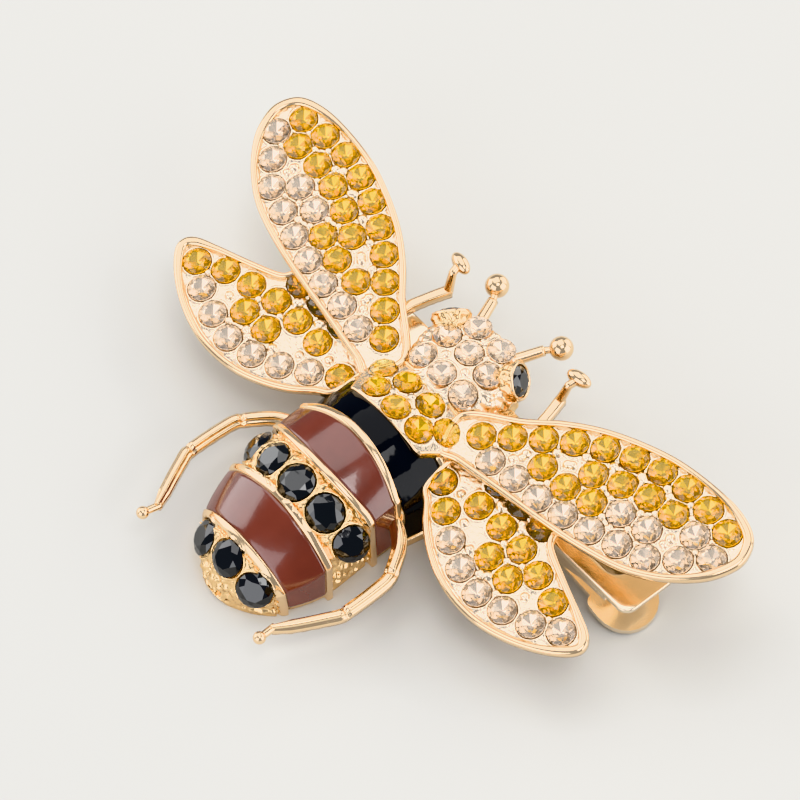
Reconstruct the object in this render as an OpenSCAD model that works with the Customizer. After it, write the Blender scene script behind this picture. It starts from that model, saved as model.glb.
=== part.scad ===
// Bee brooch on a hinged clip: a hollow gold plated casting set with cut stones,
// with enamel bands on the body. Lengths are in millimetres, angles in degrees.
// x runs to the bee's right wing, y to its head, z up from the rim it rests on.

/* [Wings] */
// Length of an upper wing from root to tip
fore_length = 30.9; // [28:0.1:34]
// Width of an upper wing at its widest
fore_width = 13; // [12.4:0.1:15]
// Angle by which the upper wings point towards the head
fore_sweep = 18.8; // [14:0.2:24]
// Tilt of the upper wings, leading edge raised
fore_pitch = 12; // [9:0.5:15]
// Rise of all wings towards the tip
wing_rise = 1.4; // [0:0.2:4]
// Length of a lower wing from root to tip
hind_length = 23.9; // [21.5:0.1:26]
// Width of a lower wing at its widest
hind_width = 11.5; // [11:0.1:13]
// Angle by which the lower wings point towards the tail
hind_sweep = 4.4; // [1:0.2:10]
// Tilt of the lower wings, leading edge raised
hind_pitch = 12.6; // [10:0.2:14]
// Thickness of the wing trays, rim included
wing_thick = 1; // [0.95:0.05:1.3]
// Width of the polished rim round a wing
wing_rim = 0.6; // [0.5:0.05:0.8]

/* [Stones] */
// Diameter of the yellow and pale stones
stone_d = 2.86; // [2.6:0.02:2.9]
// Space between neighbouring stones
stone_gap = 0.11; // [0.1:0.01:0.3]
// Diameter of the black stones on the abdomen
jet_d = 3.8; // [3.4:0.1:4]
// Diameter of the black eyes
eye_d = 3.2; // [2.8:0.1:3.5]

/* [Body] */
// Length of the abdomen along its drooping centre line
abdomen_length = 18.4; // [17:0.1:21]
// How far the abdomen reaches forward into the thorax
abdomen_lap = 3.4; // [3:0.1:3.8]
// Largest radius of the abdomen about its centre line
abdomen_radius = 10.45; // [10:0.05:11.5]
// Width of the abdomen across its flat sides
abdomen_width = 15.5; // [14.4:0.1:17]
// Droop of the abdomen towards the tail
abdomen_droop = 15; // [12:0.5:18]
// Radius of the thorax about its centre line
thorax_radius = 9.4; // [9:0.05:10]
// Width of the thorax across its sides
thorax_width = 17; // [16.4:0.1:18]
// Height of the body's centre line over the rim it rests on
axis_height = 1.8; // [1.4:0.1:2.4]
// Wall thickness of the hollow body
body_wall = 1.2; // [1.1:0.05:1.5]
// Thickness of the enamel
enamel_thick = 0.45; // [0.35:0.05:0.5]
// Width of the gold rims beside the enamel
band_rim = 0.7; // [0.5:0.05:0.9]

/* [Head, legs and antennae] */
// Width of the head
head_width = 12; // [11.4:0.1:13]
// Length of the head in front of the collar
head_length = 9; // [8.6:0.1:10]
// Width of the legs
leg_width = 1.45; // [1.2:0.05:1.8]
// Length of the rear legs along the body
rear_leg_length = 17.3; // [16:0.1:19]
// How far the rear legs bow out from the body
rear_leg_bow = 5.5; // [5:0.1:6.5]
// Length of the front legs along the body
front_leg_length = 10.2; // [9.6:0.1:11]
// Reach of the front legs from the middle
front_leg_reach = 9.7; // [9.3:0.1:10.4]
// Length of the front feet
foot_length = 2.8; // [2.4:0.1:3.4]
// Length of an antenna with its ball
antenna_length = 5.6; // [5:0.1:7]
// Diameter of the antenna balls
ball_d = 2.5; // [2:0.1:3]

/* [Clip] */
// Length of the clip's upper arm
clip_length = 45.5; // [43:0.1:48]
// Width of the clip
clip_width = 7; // [6.4:0.1:7.6]
// Thickness of the clip's sheet metal
sheet = 0.6; // [0.5:0.05:0.7]
// Diameter of the hinge pin
pin_d = 1.2; // [1:0.05:1.4]
// Length of the part of the lower arm that is pressed
lever_length = 13.6; // [12:0.1:15]

/* [Hidden] */

// clearances
seat = 0.05;
fit = 0.1;
far = 60;
eps = 0.2;

// cut stone, as shares of its diameter
crown = 0.16;
pavilion = 0.17;
table_share = 0.58;
culet_share = 0.5;
girdle = 0.05;

// heights in a wing tray, from the plane of the stones' girdles
rim_top = 0.35;
stone_clear = 0.1;
tray_floor = -0.15;
tray_base = rim_top - wing_thick;

// body stations: y is measured from the wings' joining line
waist_y = -6.5;
neck_y = 3;
collar_y = -1.43;
collar_z = axis_height + thorax_radius;
collar_round = 14;
collar_thick = 1.6;
collar_lean = 8;
groove = enamel_thick + 0.15;
recess = 0.7;
stone_backing = 0.8;
root_reach = stone_d * 1.6;
foot_z = 1.2;

// wing roots
fore_x = thorax_width / 2 * 0.741;
fore_y = 2;
fore_z = collar_z - 1.4;
hind_x = thorax_width / 2 * 0.87;
hind_y = -2.15;
overlap_x = 14;
overlap_y = 1.2;
hind_z = fore_z + (overlap_x - fore_x) * tan(wing_rise) + (overlap_y - fore_y) * tan(fore_pitch) + tray_base
    - crown * stone_d - stone_clear - (overlap_y - hind_y) * tan(hind_pitch) - (overlap_x - hind_x) * tan(wing_rise);

// clip
clip_y = 5.5;
arm_top = collar_z - 4.3;
arm_low = arm_top - sheet;
arm_tip = -15;
arm_end = arm_tip + clip_length;
pin_x = 16.5;
pin_z = arm_low - 1.7;
rail_in = clip_width / 2 - sheet;
tab_out = rail_in - 0.2;
tab_in = tab_out - sheet;
coil_r = 1.5;

// place of the whole: its box is centred over the origin
knob_d = 1.3;
rear_end = waist_y - 0.8 - rear_leg_length - 1.6 - knob_d / 2;
front_end = neck_y + head_length - 0.15 + 4.05 * antenna_length / 5.6 + ball_d / 2;
shift_y = -(rear_end + front_end) / 2;

// wing outlines: [share of length, share of width], clockwise from the root's leading corner
fore_outline = [[-0.05, 0.17], [0.147, 0.335], [0.267, 0.452], [0.391, 0.53], [0.533, 0.562],
    [0.675, 0.549], [0.828, 0.468], [0.933, 0.367], [0.999, 0.232], [1.011, 0.05],
    [0.979, -0.101], [0.914, -0.242], [0.805, -0.364], [0.676, -0.428], [0.52, -0.412],
    [0.367, -0.36], [0.206, -0.289], [0.028, -0.216], [-0.05, -0.19]];
hind_outline = [[-0.04, 0.3], [0.1, 0.48], [0.22, 0.555], [0.345, 0.585], [0.45, 0.56],
    [0.522, 0.47], [0.562, 0.372], [0.709, 0.272], [0.859, 0.186], [0.958, 0.118],
    [0.999, 0.018], [0.983, -0.11], [0.897, -0.286], [0.773, -0.445], [0.634, -0.554],
    [0.505, -0.589], [0.374, -0.571], [0.254, -0.498], [0.144, -0.387], [0.055, -0.25],
    [-0.02, -0.12]];

// stone rows of a wing, leading edge first:
// [guide points in shares of length and width, pale from and to share on the right, on the left]
fore_rows = [
    [[[0.916, 0.19], [0.73, 0.379], [0.53, 0.416], [0.328, 0.33], [0.05, 0.066]], [2, 2], [2, 2]],
    [[[0.83, 0.078], [0.643, 0.19], [0.44, 0.17]], [0.8, 1], [2, 2]],
    [[[0.685, -0.03], [0.487, -0.01], [0.281, 0.06]], [0.55, 1], [0.55, 1]],
    [[[0.915, -0.045], [0.722, -0.235], [0.52, -0.24], [0.317, -0.175], [0.121, -0.07]], [0, 1], [0, 1]]];
hind_rows = [
    [[[0.46, 0.413], [0.318, 0.404], [0.188, 0.374]], [2, 2], [2, 2]],
    [[[0.876, -0.044], [0.763, 0.058], [0.628, 0.114], [0.481, 0.155], [0.337, 0.144], [0.21, 0.115]], [0.82, 1], [2, 2]],
    [[[0.55, -0.099], [0.419, -0.098]], [2, 2], [2, 2]],
    [[[0.769, -0.199], [0.519, -0.378], [0.266, -0.27], [0.024, 0.009]], [0.2, 1], [0.1, 1]]];

// abdomen: [share of length, share of radius]
abdomen_profile = [[0.125, 1], [0.413, 0.976], [0.685, 0.858], [0.815, 0.708],
    [0.946, 0.488], [0.984, 0.287], [1, 0.05]];
abdomen_front = 0.928;
// abdomen from above: [share of length back from the waist, share of half the width]
abdomen_plan = [[-0.2, 0.93], [0.054, 0.974], [0.245, 0.981], [0.549, 1], [0.772, 0.832],
    [0.891, 0.594], [0.967, 0.31], [1.01, 0.04]];
// gold rims between the bands: [share back at the base, at the shoulder, over the crown]
rims = [[0.03, 0.046, -0.035], [0.215, 0.231, 0.31], [0.53, 0.527, 0.508], [0.78, 0.81, 0.845]];
shoulder_share = 0.67;
crown_share = 1.12;
// thorax: [y, share of radius, share of half the width]
thorax_rows = [[-7.4, 0.915, 0.86], [-6.6, 0.947, 0.93], [-4, 0.985, 0.99], [-1.4, 1, 1], [1.5, 0.957, 0.9]];
// collar from above: [share of half its width, y]
collar_half = thorax_width / 2 * 0.75;
collar_plan = [[0, -3], [0.8, -3], [1, -0.6], [1, 2.2], [0.84, 3.2], [0, 3.2]];
// head from above: [share of length, share of half the width]
head_plan = [[-0.08, 0.7], [0.111, 0.82], [0.244, 0.9], [0.5, 1], [0.644, 0.99], [0.811, 0.85],
    [0.922, 0.64], [0.989, 0.33], [1, 0.1]];
// head dome: [share of half the width, drop below the top]
head_dome = [[0, 0], [0.53, 0.06], [0.74, 0.5], [0.9, 1.25], [1.02, 2.4], [1.12, 4]];
// collar stones: [share of half its width, y], and head stones: [x share, length share, drop]
collar_seats = [[0, -1.43], [0.518, -1.12], [-0.518, -1.12], [0.275, 1.62], [-0.275, 1.62],
    [0.78, 1.19], [-0.78, 1.19]];
head_seats = [[0, 0.164, 0.1], [0, 0.561, 0], [0.507, 0.182, 0.55], [-0.507, 0.182, 0.55],
    [0.517, 0.534, 0.1], [-0.517, 0.534, 0.1], [0.302, 0.86, 0.1], [-0.302, 0.86, 0.1]];
// black abdomen stones: angle round the centre line, and share of length
jet_angles = [-48.5, -24.5, 0, 24.5, 48.5];
jet_share = 0.28;
// black tail stones: [share of length, angle round the centre line, lean towards the tail]
tail_seats = [[0.813, 0, 33], [0.82, 33, 30], [0.82, -33, 30]];
// rear leg: [share of length back, share of bow]
leg_path = [[0, 0], [0.098, 0.49], [0.225, 0.78], [0.364, 0.96], [0.514, 1], [0.665, 0.927],
    [0.81, 0.745], [0.93, 0.527], [1, 0.38]];
// front leg: [share of reach, share of length]
front_leg_path = [[0.402, 0], [0.742, 0.098], [0.959, 0.294], [1, 0.52], [0.954, 0.755], [0.882, 1]];

// points
function mix(a, b, t) = a + (b - a) * t;
function wrap(p, i) = p[(i + len(p)) % len(p)];
function curve(a, b, c, d, t) = 0.5 * (2 * b + (c - a) * t + (2 * a - 5 * b + 4 * c - d) * t * t
    + (3 * b - a - 3 * c + d) * t * t * t);
// smooth closed outline through its points
function ring(p, n = 3) = [for (i = [0:len(p) - 1]) for (k = [0:n - 1])
    curve(wrap(p, i - 1), p[i], wrap(p, i + 1), wrap(p, i + 2), k / n)];
function end_point(p, i) = i < 0 ? 2 * p[0] - p[1] : i >= len(p) ? 2 * p[len(p) - 1] - p[len(p) - 2] : p[i];
// smooth open line through its points
function line(p, n = 3) = concat([for (i = [0:len(p) - 2]) for (k = [0:n - 1])
    curve(end_point(p, i - 1), p[i], p[i + 1], end_point(p, i + 2), k / n)], [p[len(p) - 1]]);
function scaled(p, a, b) = [for (q = p) [q[0] * a, q[1] * b]];
function unit(v) = v / norm(v);
// each point of a clockwise outline moved inwards by d
function inward(p, d) = [for (i = [0:len(p) - 1]) let (t = unit(wrap(p, i + 1) - wrap(p, i - 1)))
    p[i] + d * [t[1], -t[0]]];
// open line moved to its right by d
function aside(p, d) = [for (i = [0:len(p) - 1])
    let (t = unit(p[min(i + 1, len(p) - 1)] - p[max(i - 1, 0)])) p[i] + d * [t[1], -t[0]]];
// running length of a line
function running(p) = [for (i = 0, s = 0; i < len(p); s = i + 1 < len(p) ? s + norm(p[i + 1] - p[i]) : s, i = i + 1) s];
// half outline [along y, half width] made whole by its mirror image
function both_sides(p) = concat([for (q = p) [q[1], q[0]]], [for (i = [len(p) - 1:-1:0]) [-p[i][1], p[i][0]]]);

// stone rows
pitch = stone_d + stone_gap;
// centres spread evenly along a guide line
function spread(guide) = let (p = line(guide, 8), s = running(p), total = s[len(s) - 1],
    n = floor(total / pitch) + 1,
    xs = [for (i = [0:len(p) - 1]) [s[i], p[i][0]]], ys = [for (i = [0:len(p) - 1]) [s[i], p[i][1]]])
    [for (k = [0:n - 1]) let (t = n > 1 ? total * k / (n - 1) : total / 2) [lookup(t, xs), lookup(t, ys)]];
// a stone is pushed towards the trailing edge until it clears the rows set before it
function pushed(c, set) = [c[0], min(concat([c[1]], [for (q = set) let (u = c[0] - q[0])
    if (abs(u) < pitch) q[1] - sqrt(pitch * pitch - u * u)]))];
function clear_of(c, set) = len([for (q = set) if (norm([c[0] - q[0], c[1] - q[1]]) < pitch - 0.01) 1]) == 0;
function in_tray(c, outline) = min([for (q = outline) norm([c[0] - q[0], c[1] - q[1]])]) > stone_d / 2 + wing_rim * 0.6;
// stones that clear the earlier ones and the rim: [x, y, share along the wing, row]
function set_row(row, n, set, length, width, outline) = [for (c = spread(scaled(row[0], length, width)))
    let (m = pushed(c, set)) if (clear_of(m, set) && (in_tray(m, outline) || n < 1 || m[0] < 6)) [m[0], m[1], m[0] / length, n]];
function set_rows(rows, length, width, outline, n = 0, set = []) = n == len(rows) ? set
    : set_rows(rows, length, width, outline, n + 1, concat(set, set_row(rows[n], n, set, length, width, outline)));
function is_pale(stone, rows, side) = let (r = rows[stone[3]][side]) stone[2] >= r[0] && stone[2] <= r[1];

fore_ring = ring(scaled(fore_outline, fore_length, fore_width));
hind_ring = ring(scaled(hind_outline, hind_length, hind_width));
fore_stones = set_rows(fore_rows, fore_length, fore_width, fore_ring);
hind_stones = set_rows(hind_rows, hind_length, hind_width, hind_ring);

// shared solids
module placed() {
    translate([0, shift_y, 0])
        children();
}

module gem(d) {
    r = d / 2;
    g = girdle * d / 2;
    top = [for (k = [0:7]) [r * table_share * cos(22.5 + 45 * k), r * table_share * sin(22.5 + 45 * k), crown * d]];
    up = [for (k = [0:15]) [r * cos(22.5 * k), r * sin(22.5 * k), g]];
    low = [for (k = [0:15]) [r * cos(22.5 * k), r * sin(22.5 * k), -g]];
    end = [for (k = [0:7]) [r * culet_share * cos(22.5 + 45 * k), r * culet_share * sin(22.5 + 45 * k), -pavilion * d]];
    polyhedron(points = concat(top, up, low, end), faces = concat(
        [[for (k = [7:-1:0]) k]],
        [for (k = [0:7]) [k, (k + 1) % 8, 8 + (2 * k + 2) % 16]],
        [for (k = [0:7]) [k, 8 + 2 * k + 1, 8 + 2 * k]],
        [for (k = [0:7]) [k, 8 + (2 * k + 2) % 16, 8 + 2 * k + 1]],
        [for (k = [0:15]) [8 + k, 8 + (k + 1) % 16, 24 + (k + 1) % 16, 24 + k]],
        [for (k = [0:7]) [40 + k, 24 + (2 * k + 2) % 16, 40 + (k + 1) % 8]],
        [for (k = [0:7]) [40 + k, 24 + 2 * k, 24 + 2 * k + 1]],
        [for (k = [0:7]) [40 + k, 24 + 2 * k + 1, 24 + (2 * k + 2) % 16]],
        [[for (k = [0:7]) 40 + k]]));
}

module pocket(d) {
    translate([0, 0, -pavilion * d - seat])
        cylinder(h = pavilion * d + seat + 2, r = d / 2 + seat, $fn = 48);
}

module collet(d, depth) {
    translate([0, 0, -depth])
        cylinder(h = depth - 0.1, r = d / 2 + 0.4, $fn = 48);
}

// turns z towards v
module towards(v) {
    rotate([0, acos(v[2] / norm(v)), atan2(v[1], v[0])])
        children();
}

// tapered round bar from a to b
module rod(a, b, r1, r2) {
    translate(a)
        towards(b - a)
            cylinder(h = norm(b - a), r1 = r1, r2 = r2, $fn = 32);
}

// strip of given widths along a path, z up
module ribbon(path, widths, thick) {
    w = [for (i = [0:len(path) - 1]) lookup(i / (len(path) - 1), widths) / 2];
    n = len(path) - 1;
    t = [for (i = [0:n]) unit(path[min(i + 1, n)] - path[max(i - 1, 0)])];
    linear_extrude(height = thick)
        polygon(concat([for (i = [0:n]) path[i] + w[i] * [-t[i][1], t[i][0]]],
            [for (i = [n:-1:0]) path[i] - w[i] * [-t[i][1], t[i][0]]]));
}

// wings
module fore_frame() {
    translate([fore_x, fore_y, fore_z])
        rotate([fore_pitch, 0, 0])
            rotate([0, -wing_rise, 0])
                rotate([0, 0, fore_sweep])
                    children();
}

module hind_frame() {
    translate([hind_x, hind_y, hind_z])
        rotate([hind_pitch, 0, 0])
            rotate([0, -wing_rise, 0])
                rotate([0, 0, -hind_sweep])
                    children();
}

module tray(outline) {
    difference() {
        translate([0, 0, tray_base])
            linear_extrude(height = wing_thick)
                polygon(outline);
        translate([0, 0, tray_floor])
            linear_extrude(height = wing_thick)
                polygon(inward(outline, wing_rim));
    }
}

module wing_plates() {
    difference() {
        fore_frame()
            tray(fore_ring);
        fore_frame()
            for (s = fore_stones)
                translate([s[0], s[1], 0])
                    pocket(stone_d);
    }
    difference() {
        hind_frame()
            tray(hind_ring);
        hind_frame()
            for (s = hind_stones)
                translate([s[0], s[1], 0])
                    pocket(stone_d);
    }
}

module wing_stones(stones, rows, side, pale) {
    for (s = stones)
        if (is_pale(s, rows, side) == pale)
            translate([s[0], s[1], 0])
                gem(stone_d);
}

// abdomen and thorax
// side line of the abdomen from its front face to the tail: [along its centre line, radius]
abdomen_side = line(concat([[-abdomen_lap, abdomen_front * abdomen_radius]],
    scaled(abdomen_profile, abdomen_length, abdomen_radius)));

module abdomen_solid(t) {
    profile = aside(abdomen_side, t);
    last = len(profile) - 1;
    plan = scaled(abdomen_plan, -abdomen_length, abdomen_width / 2);
    half = aside(line([for (q = plan) q]), -t);
    intersection() {
        translate([0, waist_y, axis_height])
            rotate([90 + abdomen_droop, 0, 0])
                rotate_extrude($fn = 96)
                    polygon(concat([[0, profile[0][0]]], [for (q = profile) [max(q[1], 0), q[0]]], [[0, profile[last][0]]]));
        translate([0, waist_y, t > 0.9 ? -1 : 0])
            linear_extrude(height = 20)
                polygon(both_sides(half));
    }
}

module thorax_solid(t) {
    intersection() {
        translate([0, 0, axis_height])
            rotate([-90, 0, 0])
                rotate_extrude($fn = 96)
                    polygon(concat([[0, -7.4]], [for (q = thorax_rows) [thorax_radius * q[1] - t, q[0]]], [[0, 1.5]]));
        translate([0, 0, t > 0.9 ? -1 : 0])
            linear_extrude(height = 20)
                polygon(both_sides([for (q = thorax_rows) [q[0] > 0 ? q[0] - t : q[0], thorax_width / 2 * q[2] - t]]));
    }
}

// slab between two rims, d clear of the line that divides them, seen from the side
module band(front, back, d, low) {
    shoulder = axis_height + shoulder_share * abdomen_radius;
    top = axis_height + crown_share * abdomen_radius;
    a = rims[front] * abdomen_length;
    b = rims[back] * abdomen_length;
    translate([-far / 2, 0, 0])
        rotate([90, 0, 90])
            linear_extrude(height = far)
                polygon([[waist_y - a[0] - d, low], [waist_y - a[1] - d, shoulder], [waist_y - a[2] - d, top],
                    [waist_y - b[2] + d, top], [waist_y - b[1] + d, shoulder], [waist_y - b[0] + d, low]]);
}

module enamel_band(front, back) {
    difference() {
        intersection() {
            abdomen_solid(groove - enamel_thick);
            band(front, back, band_rim / 2 + seat, foot_z + seat);
        }
        abdomen_solid(groove - seat);
        enamel_clear();
    }
}

// outline of the black enamel from above, grown by d
module thorax_zone(d) {
    e = hind_x - 1.55;
    translate([0, 0, foot_z - d])
        linear_extrude(height = 20)
            polygon([[-far / 2, -6.35 - d], [far / 2, -6.35 - d], [far / 2, -1.3 + d], [e - d, -1.3 + d],
                [5 - d, -3.2 + d], [d - 5, -3.2 + d], [d - e, -1.3 + d], [-far / 2, -1.3 + d]]);
}

// place of a black stone on the abdomen: s along, angle round, lean back
module on_abdomen(share, angle, lean, depth) {
    s = share * abdomen_length;
    r = lookup(s, abdomen_side) - depth;
    translate([0, waist_y, axis_height])
        rotate([90 + abdomen_droop, 0, 0])
            rotate([0, 0, -angle])
                translate([0, r, s])
                    rotate([-90 + lean, 0, 0])
                        children();
}

module jet_seats() {
    for (a = jet_angles)
        on_abdomen(jet_share, a, 6, recess - 0.1)
            children();
}

module tail_places() {
    for (q = tail_seats)
        on_abdomen(q[0], q[1], q[2], 0.1)
            children();
}

// the wall is thicker behind the row of black stones
module hollow() {
    difference() {
        union() {
            abdomen_solid(body_wall);
            thorax_solid(body_wall);
        }
        difference() {
            band(1, 2, -band_rim / 2, -2);
            abdomen_solid(body_wall + stone_backing);
        }
    }
}

module body_shell() {
    difference() {
        union() {
            difference() {
                union() {
                    abdomen_solid(0);
                    thorax_solid(0);
                }
                difference() {
                    union() {
                        band(0, 1, band_rim / 2, foot_z);
                        band(2, 3, band_rim / 2, foot_z);
                    }
                    abdomen_solid(groove);
                }
                difference() {
                    band(1, 2, band_rim / 2, 0.9);
                    abdomen_solid(recess);
                }
                difference() {
                    thorax_zone(0);
                    thorax_solid(groove);
                    abdomen_solid(-0.01);
                }
                hollow();
            }
            tail_places()
                collet(jet_d, 1.2);
        }
        jet_seats()
            pocket(jet_d);
        tail_places()
            pocket(jet_d);
        collar_places()
            pocket(stone_d);
        root_pockets();
    }
}

// seats of the stones at the wing roots, where the trays run into the thorax
module root_pockets() {
    for (m = [0, 1])
        mirror([m, 0, 0]) {
            fore_frame()
                for (s = fore_stones)
                    if (s[0] < root_reach)
                        translate([s[0], s[1], 0])
                            pocket(stone_d);
            hind_frame()
                for (s = hind_stones)
                    if (s[0] < root_reach)
                        translate([s[0], s[1], 0])
                            pocket(stone_d);
        }
}

// room that the enamel leaves round trays, root stones and legs
module enamel_clear() {
    for (m = [0, 1])
        mirror([m, 0, 0]) {
            rear_leg_bar(rear_leg_line, seat);
            fore_frame()
                wing_room(fore_ring);
            hind_frame()
                wing_room(hind_ring);
        }
}

module wing_room(outline) {
    translate([0, 0, tray_base - seat])
        linear_extrude(height = crown * stone_d - tray_base + 2 * seat)
            polygon(inward(outline, -seat));
}

// collar and head
module collar_frame() {
    translate([0, collar_y, collar_z])
        rotate([-collar_lean, 0, 0])
            translate([0, 0, -collar_round])
                children();
}

module on_collar(x, y) {
    collar_frame()
        rotate([0, asin(x / collar_round), 0])
            translate([0, y - collar_y, collar_round])
                children();
}

module collar_places() {
    for (q = collar_seats)
        on_collar(q[0] * collar_half, q[1])
            children();
}

module collar() {
    intersection() {
        collar_frame()
            rotate([90, 0, 0])
                translate([0, 0, -10])
                    difference() {
                        cylinder(h = 20, r = collar_round - 0.15, $fn = 128);
                        translate([0, 0, -1])
                            cylinder(h = 22, r = collar_round - collar_thick, $fn = 128);
                    }
        translate([0, 0, collar_z - 5])
            linear_extrude(height = 8)
                polygon(concat([for (q = collar_plan) [q[0] * collar_half, q[1]]],
                    [for (i = [len(collar_plan) - 2:-1:1]) [-collar_plan[i][0] * collar_half, collar_plan[i][1]]]));
    }
}

head_top = collar_z + 0.35;

module head_places() {
    for (q = head_seats)
        translate([q[0] * head_width / 2, neck_y + q[1] * head_length, head_top - q[2]])
            rotate([q[1] < 0.2 && q[0] != 0 ? 8 : 0, sign(q[0]) * (q[2] > 0.2 ? 9 : 3), 0])
                children();
}

module eye_places() {
    for (m = [0, 1])
        mirror([m, 0, 0])
            translate([head_width / 2 * 0.875, neck_y + head_length * 0.792, head_top - 1])
                towards([0.75, 0.5, 0.43])
                    children();
}

module head() {
    cy = neck_y + head_length * 0.52;
    intersection() {
        translate([0, cy, 0])
            rotate_extrude($fn = 96)
                polygon(concat([[0, 0]], [[head_dome[5][0] * head_width / 2, 0]],
                    [for (i = [5:-1:0]) [head_dome[i][0] * head_width / 2, head_top - 0.15 - head_dome[i][1]]]));
        translate([0, 0, arm_top - eps])
            linear_extrude(height = 8)
                polygon(both_sides(line([for (q = head_plan) [neck_y + q[0] * head_length, q[1] * head_width / 2]])));
    }
    // neck that joins thorax, collar and head
    translate([-4.4, 0.6, arm_top - eps])
        cube([8.8, 4, collar_z - 1.6 - arm_top]);
    intersection() {
        eye_places()
            collet(eye_d, 2.2);
        translate([-far / 2, 0, arm_top])
            cube([far, far, far]);
    }
}

// legs and antennae
// bar of a rear leg with its ridge, grown by d
module rear_leg_bar(path, d) {
    bar = [[0, leg_width * 1.1 + 2 * d], [0.5, leg_width + 2 * d], [0.9, leg_width * 0.9 + 2 * d], [1, leg_width * 0.5]];
    ridge = [[0, leg_width * 0.6 + 2 * d], [0.5, leg_width * 0.5 + 2 * d], [0.9, leg_width * 0.5], [1, leg_width * 0.3]];
    translate([0, 0, axis_height + 2.8 - d])
        ribbon(path, bar, 0.8 + 2 * d);
    translate([0, 0, axis_height + 3.5])
        ribbon(path, ridge, 0.5 + d);
}

rear_leg_x = abdomen_width / 2 - 0.85;
rear_leg_y = waist_y - 0.8;
rear_leg_line = line([for (q = leg_path) [rear_leg_x + q[1] * rear_leg_bow, rear_leg_y - q[0] * rear_leg_length]]);

module rear_leg() {
    path = rear_leg_line;
    ankle = path[len(path) - 1];
    rear_leg_bar(path, 0);
    rod([ankle[0], ankle[1] + 0.4, axis_height + 3.3], [ankle[0] + 0.2, ankle[1] - 1.6, axis_height + 3.7], 0.42, 0.36);
    translate([ankle[0] + 0.2, ankle[1] - 1.6, axis_height + 3.7])
        sphere(d = knob_d, $fn = 32);
}

module front_leg() {
    z = collar_z - 2.7;
    path = line([for (q = front_leg_path) [q[0] * front_leg_reach, 2.6 + q[1] * front_leg_length]]);
    knee = path[len(path) - 1];
    translate([0, 0, z - 0.6])
        ribbon(path, [[0, leg_width], [0.8, leg_width * 0.75], [1, leg_width * 0.8]], 1.1);
    toe = [knee[0] + 0.5, knee[1] + 1.8, z + 2.6];
    rod([knee[0], knee[1] - 0.3, z - 0.1], [knee[0] + 0.3, knee[1] + 0.6, z + 2.3], 0.55, 0.42);
    rod([knee[0] + 0.3, knee[1] + 0.6, z + 2.3], toe, 0.42, 0.5);
    translate(toe)
        rotate([0, 0, 101])
            rotate([90, 0, 0])
                rotate_extrude($fn = 40)
                    polygon([for (a = [-90:15:90]) [0.75 * cos(a) + (abs(a) == 90 ? 0 : 0.001), foot_length / 2 * sin(a)]]);
}

module antenna() {
    x = head_width / 2;
    y = neck_y + head_length;
    z = head_top - 1.6;
    k = antenna_length / 5.6;
    rod([x * 0.38, y - 1.6, z], [x * 0.47 + 1.1 * k, y - 0.15 + 2.65 * k, z + 0.35], 0.65, 0.55);
    rod([x * 0.47 + 1.1 * k, y - 0.15 + 2.65 * k, z + 0.35], [x * 0.47 + 2.1 * k, y - 0.15 + 4.05 * k, z + 0.5], 0.4, 0.32);
    translate([x * 0.47 + 2.1 * k, y - 0.15 + 4.05 * k, z + 0.55])
        sphere(d = ball_d, $fn = 48);
}

// clip
module rounded_strip(x0, x1, w, r0, r1) {
    polygon(concat(
        [for (a = [180:15:270]) [x0 + r0 + r0 * cos(a), clip_y - w / 2 + r0 + r0 * sin(a)]],
        [for (a = [270:15:360]) [x1 - r1 + r1 * cos(a), clip_y - w / 2 + r1 + r1 * sin(a)]],
        [for (a = [0:15:90]) [x1 - r1 + r1 * cos(a), clip_y + w / 2 - r1 + r1 * sin(a)]],
        [for (a = [90:15:180]) [x0 + r0 + r0 * cos(a), clip_y + w / 2 - r0 + r0 * sin(a)]]));
}

module along_pin(y0, y1, r) {
    translate([pin_x, y1, pin_z])
        rotate([90, 0, 0])
            cylinder(h = y1 - y0, r = r, $fn = 48);
}

module upper_arm() {
    difference() {
        union() {
            translate([0, 0, arm_low])
                linear_extrude(height = sheet)
                    rounded_strip(arm_tip, arm_end, clip_width, 1.5, 1.3);
            for (y = [clip_y - clip_width / 2, clip_y + clip_width / 2 - sheet])
                translate([0, y + sheet, 0])
                    rotate([90, 0, 0])
                        linear_extrude(height = sheet)
                            polygon([[pin_x - 8, arm_low + 0.1], [pin_x - 2.5, pin_z - 1.1], [pin_x + 2.5, pin_z - 1.1],
                                [pin_x + 7.5, arm_low - 0.9], [arm_end - 3, arm_low - 0.6], [arm_end - 3, arm_low + 0.1]]);
        }
        translate([0, 0, arm_low - 1])
            linear_extrude(height = sheet + 2)
                rounded_strip(pin_x + 3, arm_end - 3.6, clip_width * 0.46, clip_width * 0.22, clip_width * 0.22);
        along_pin(0, 20, pin_d / 2 + fit);
    }
}

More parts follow.
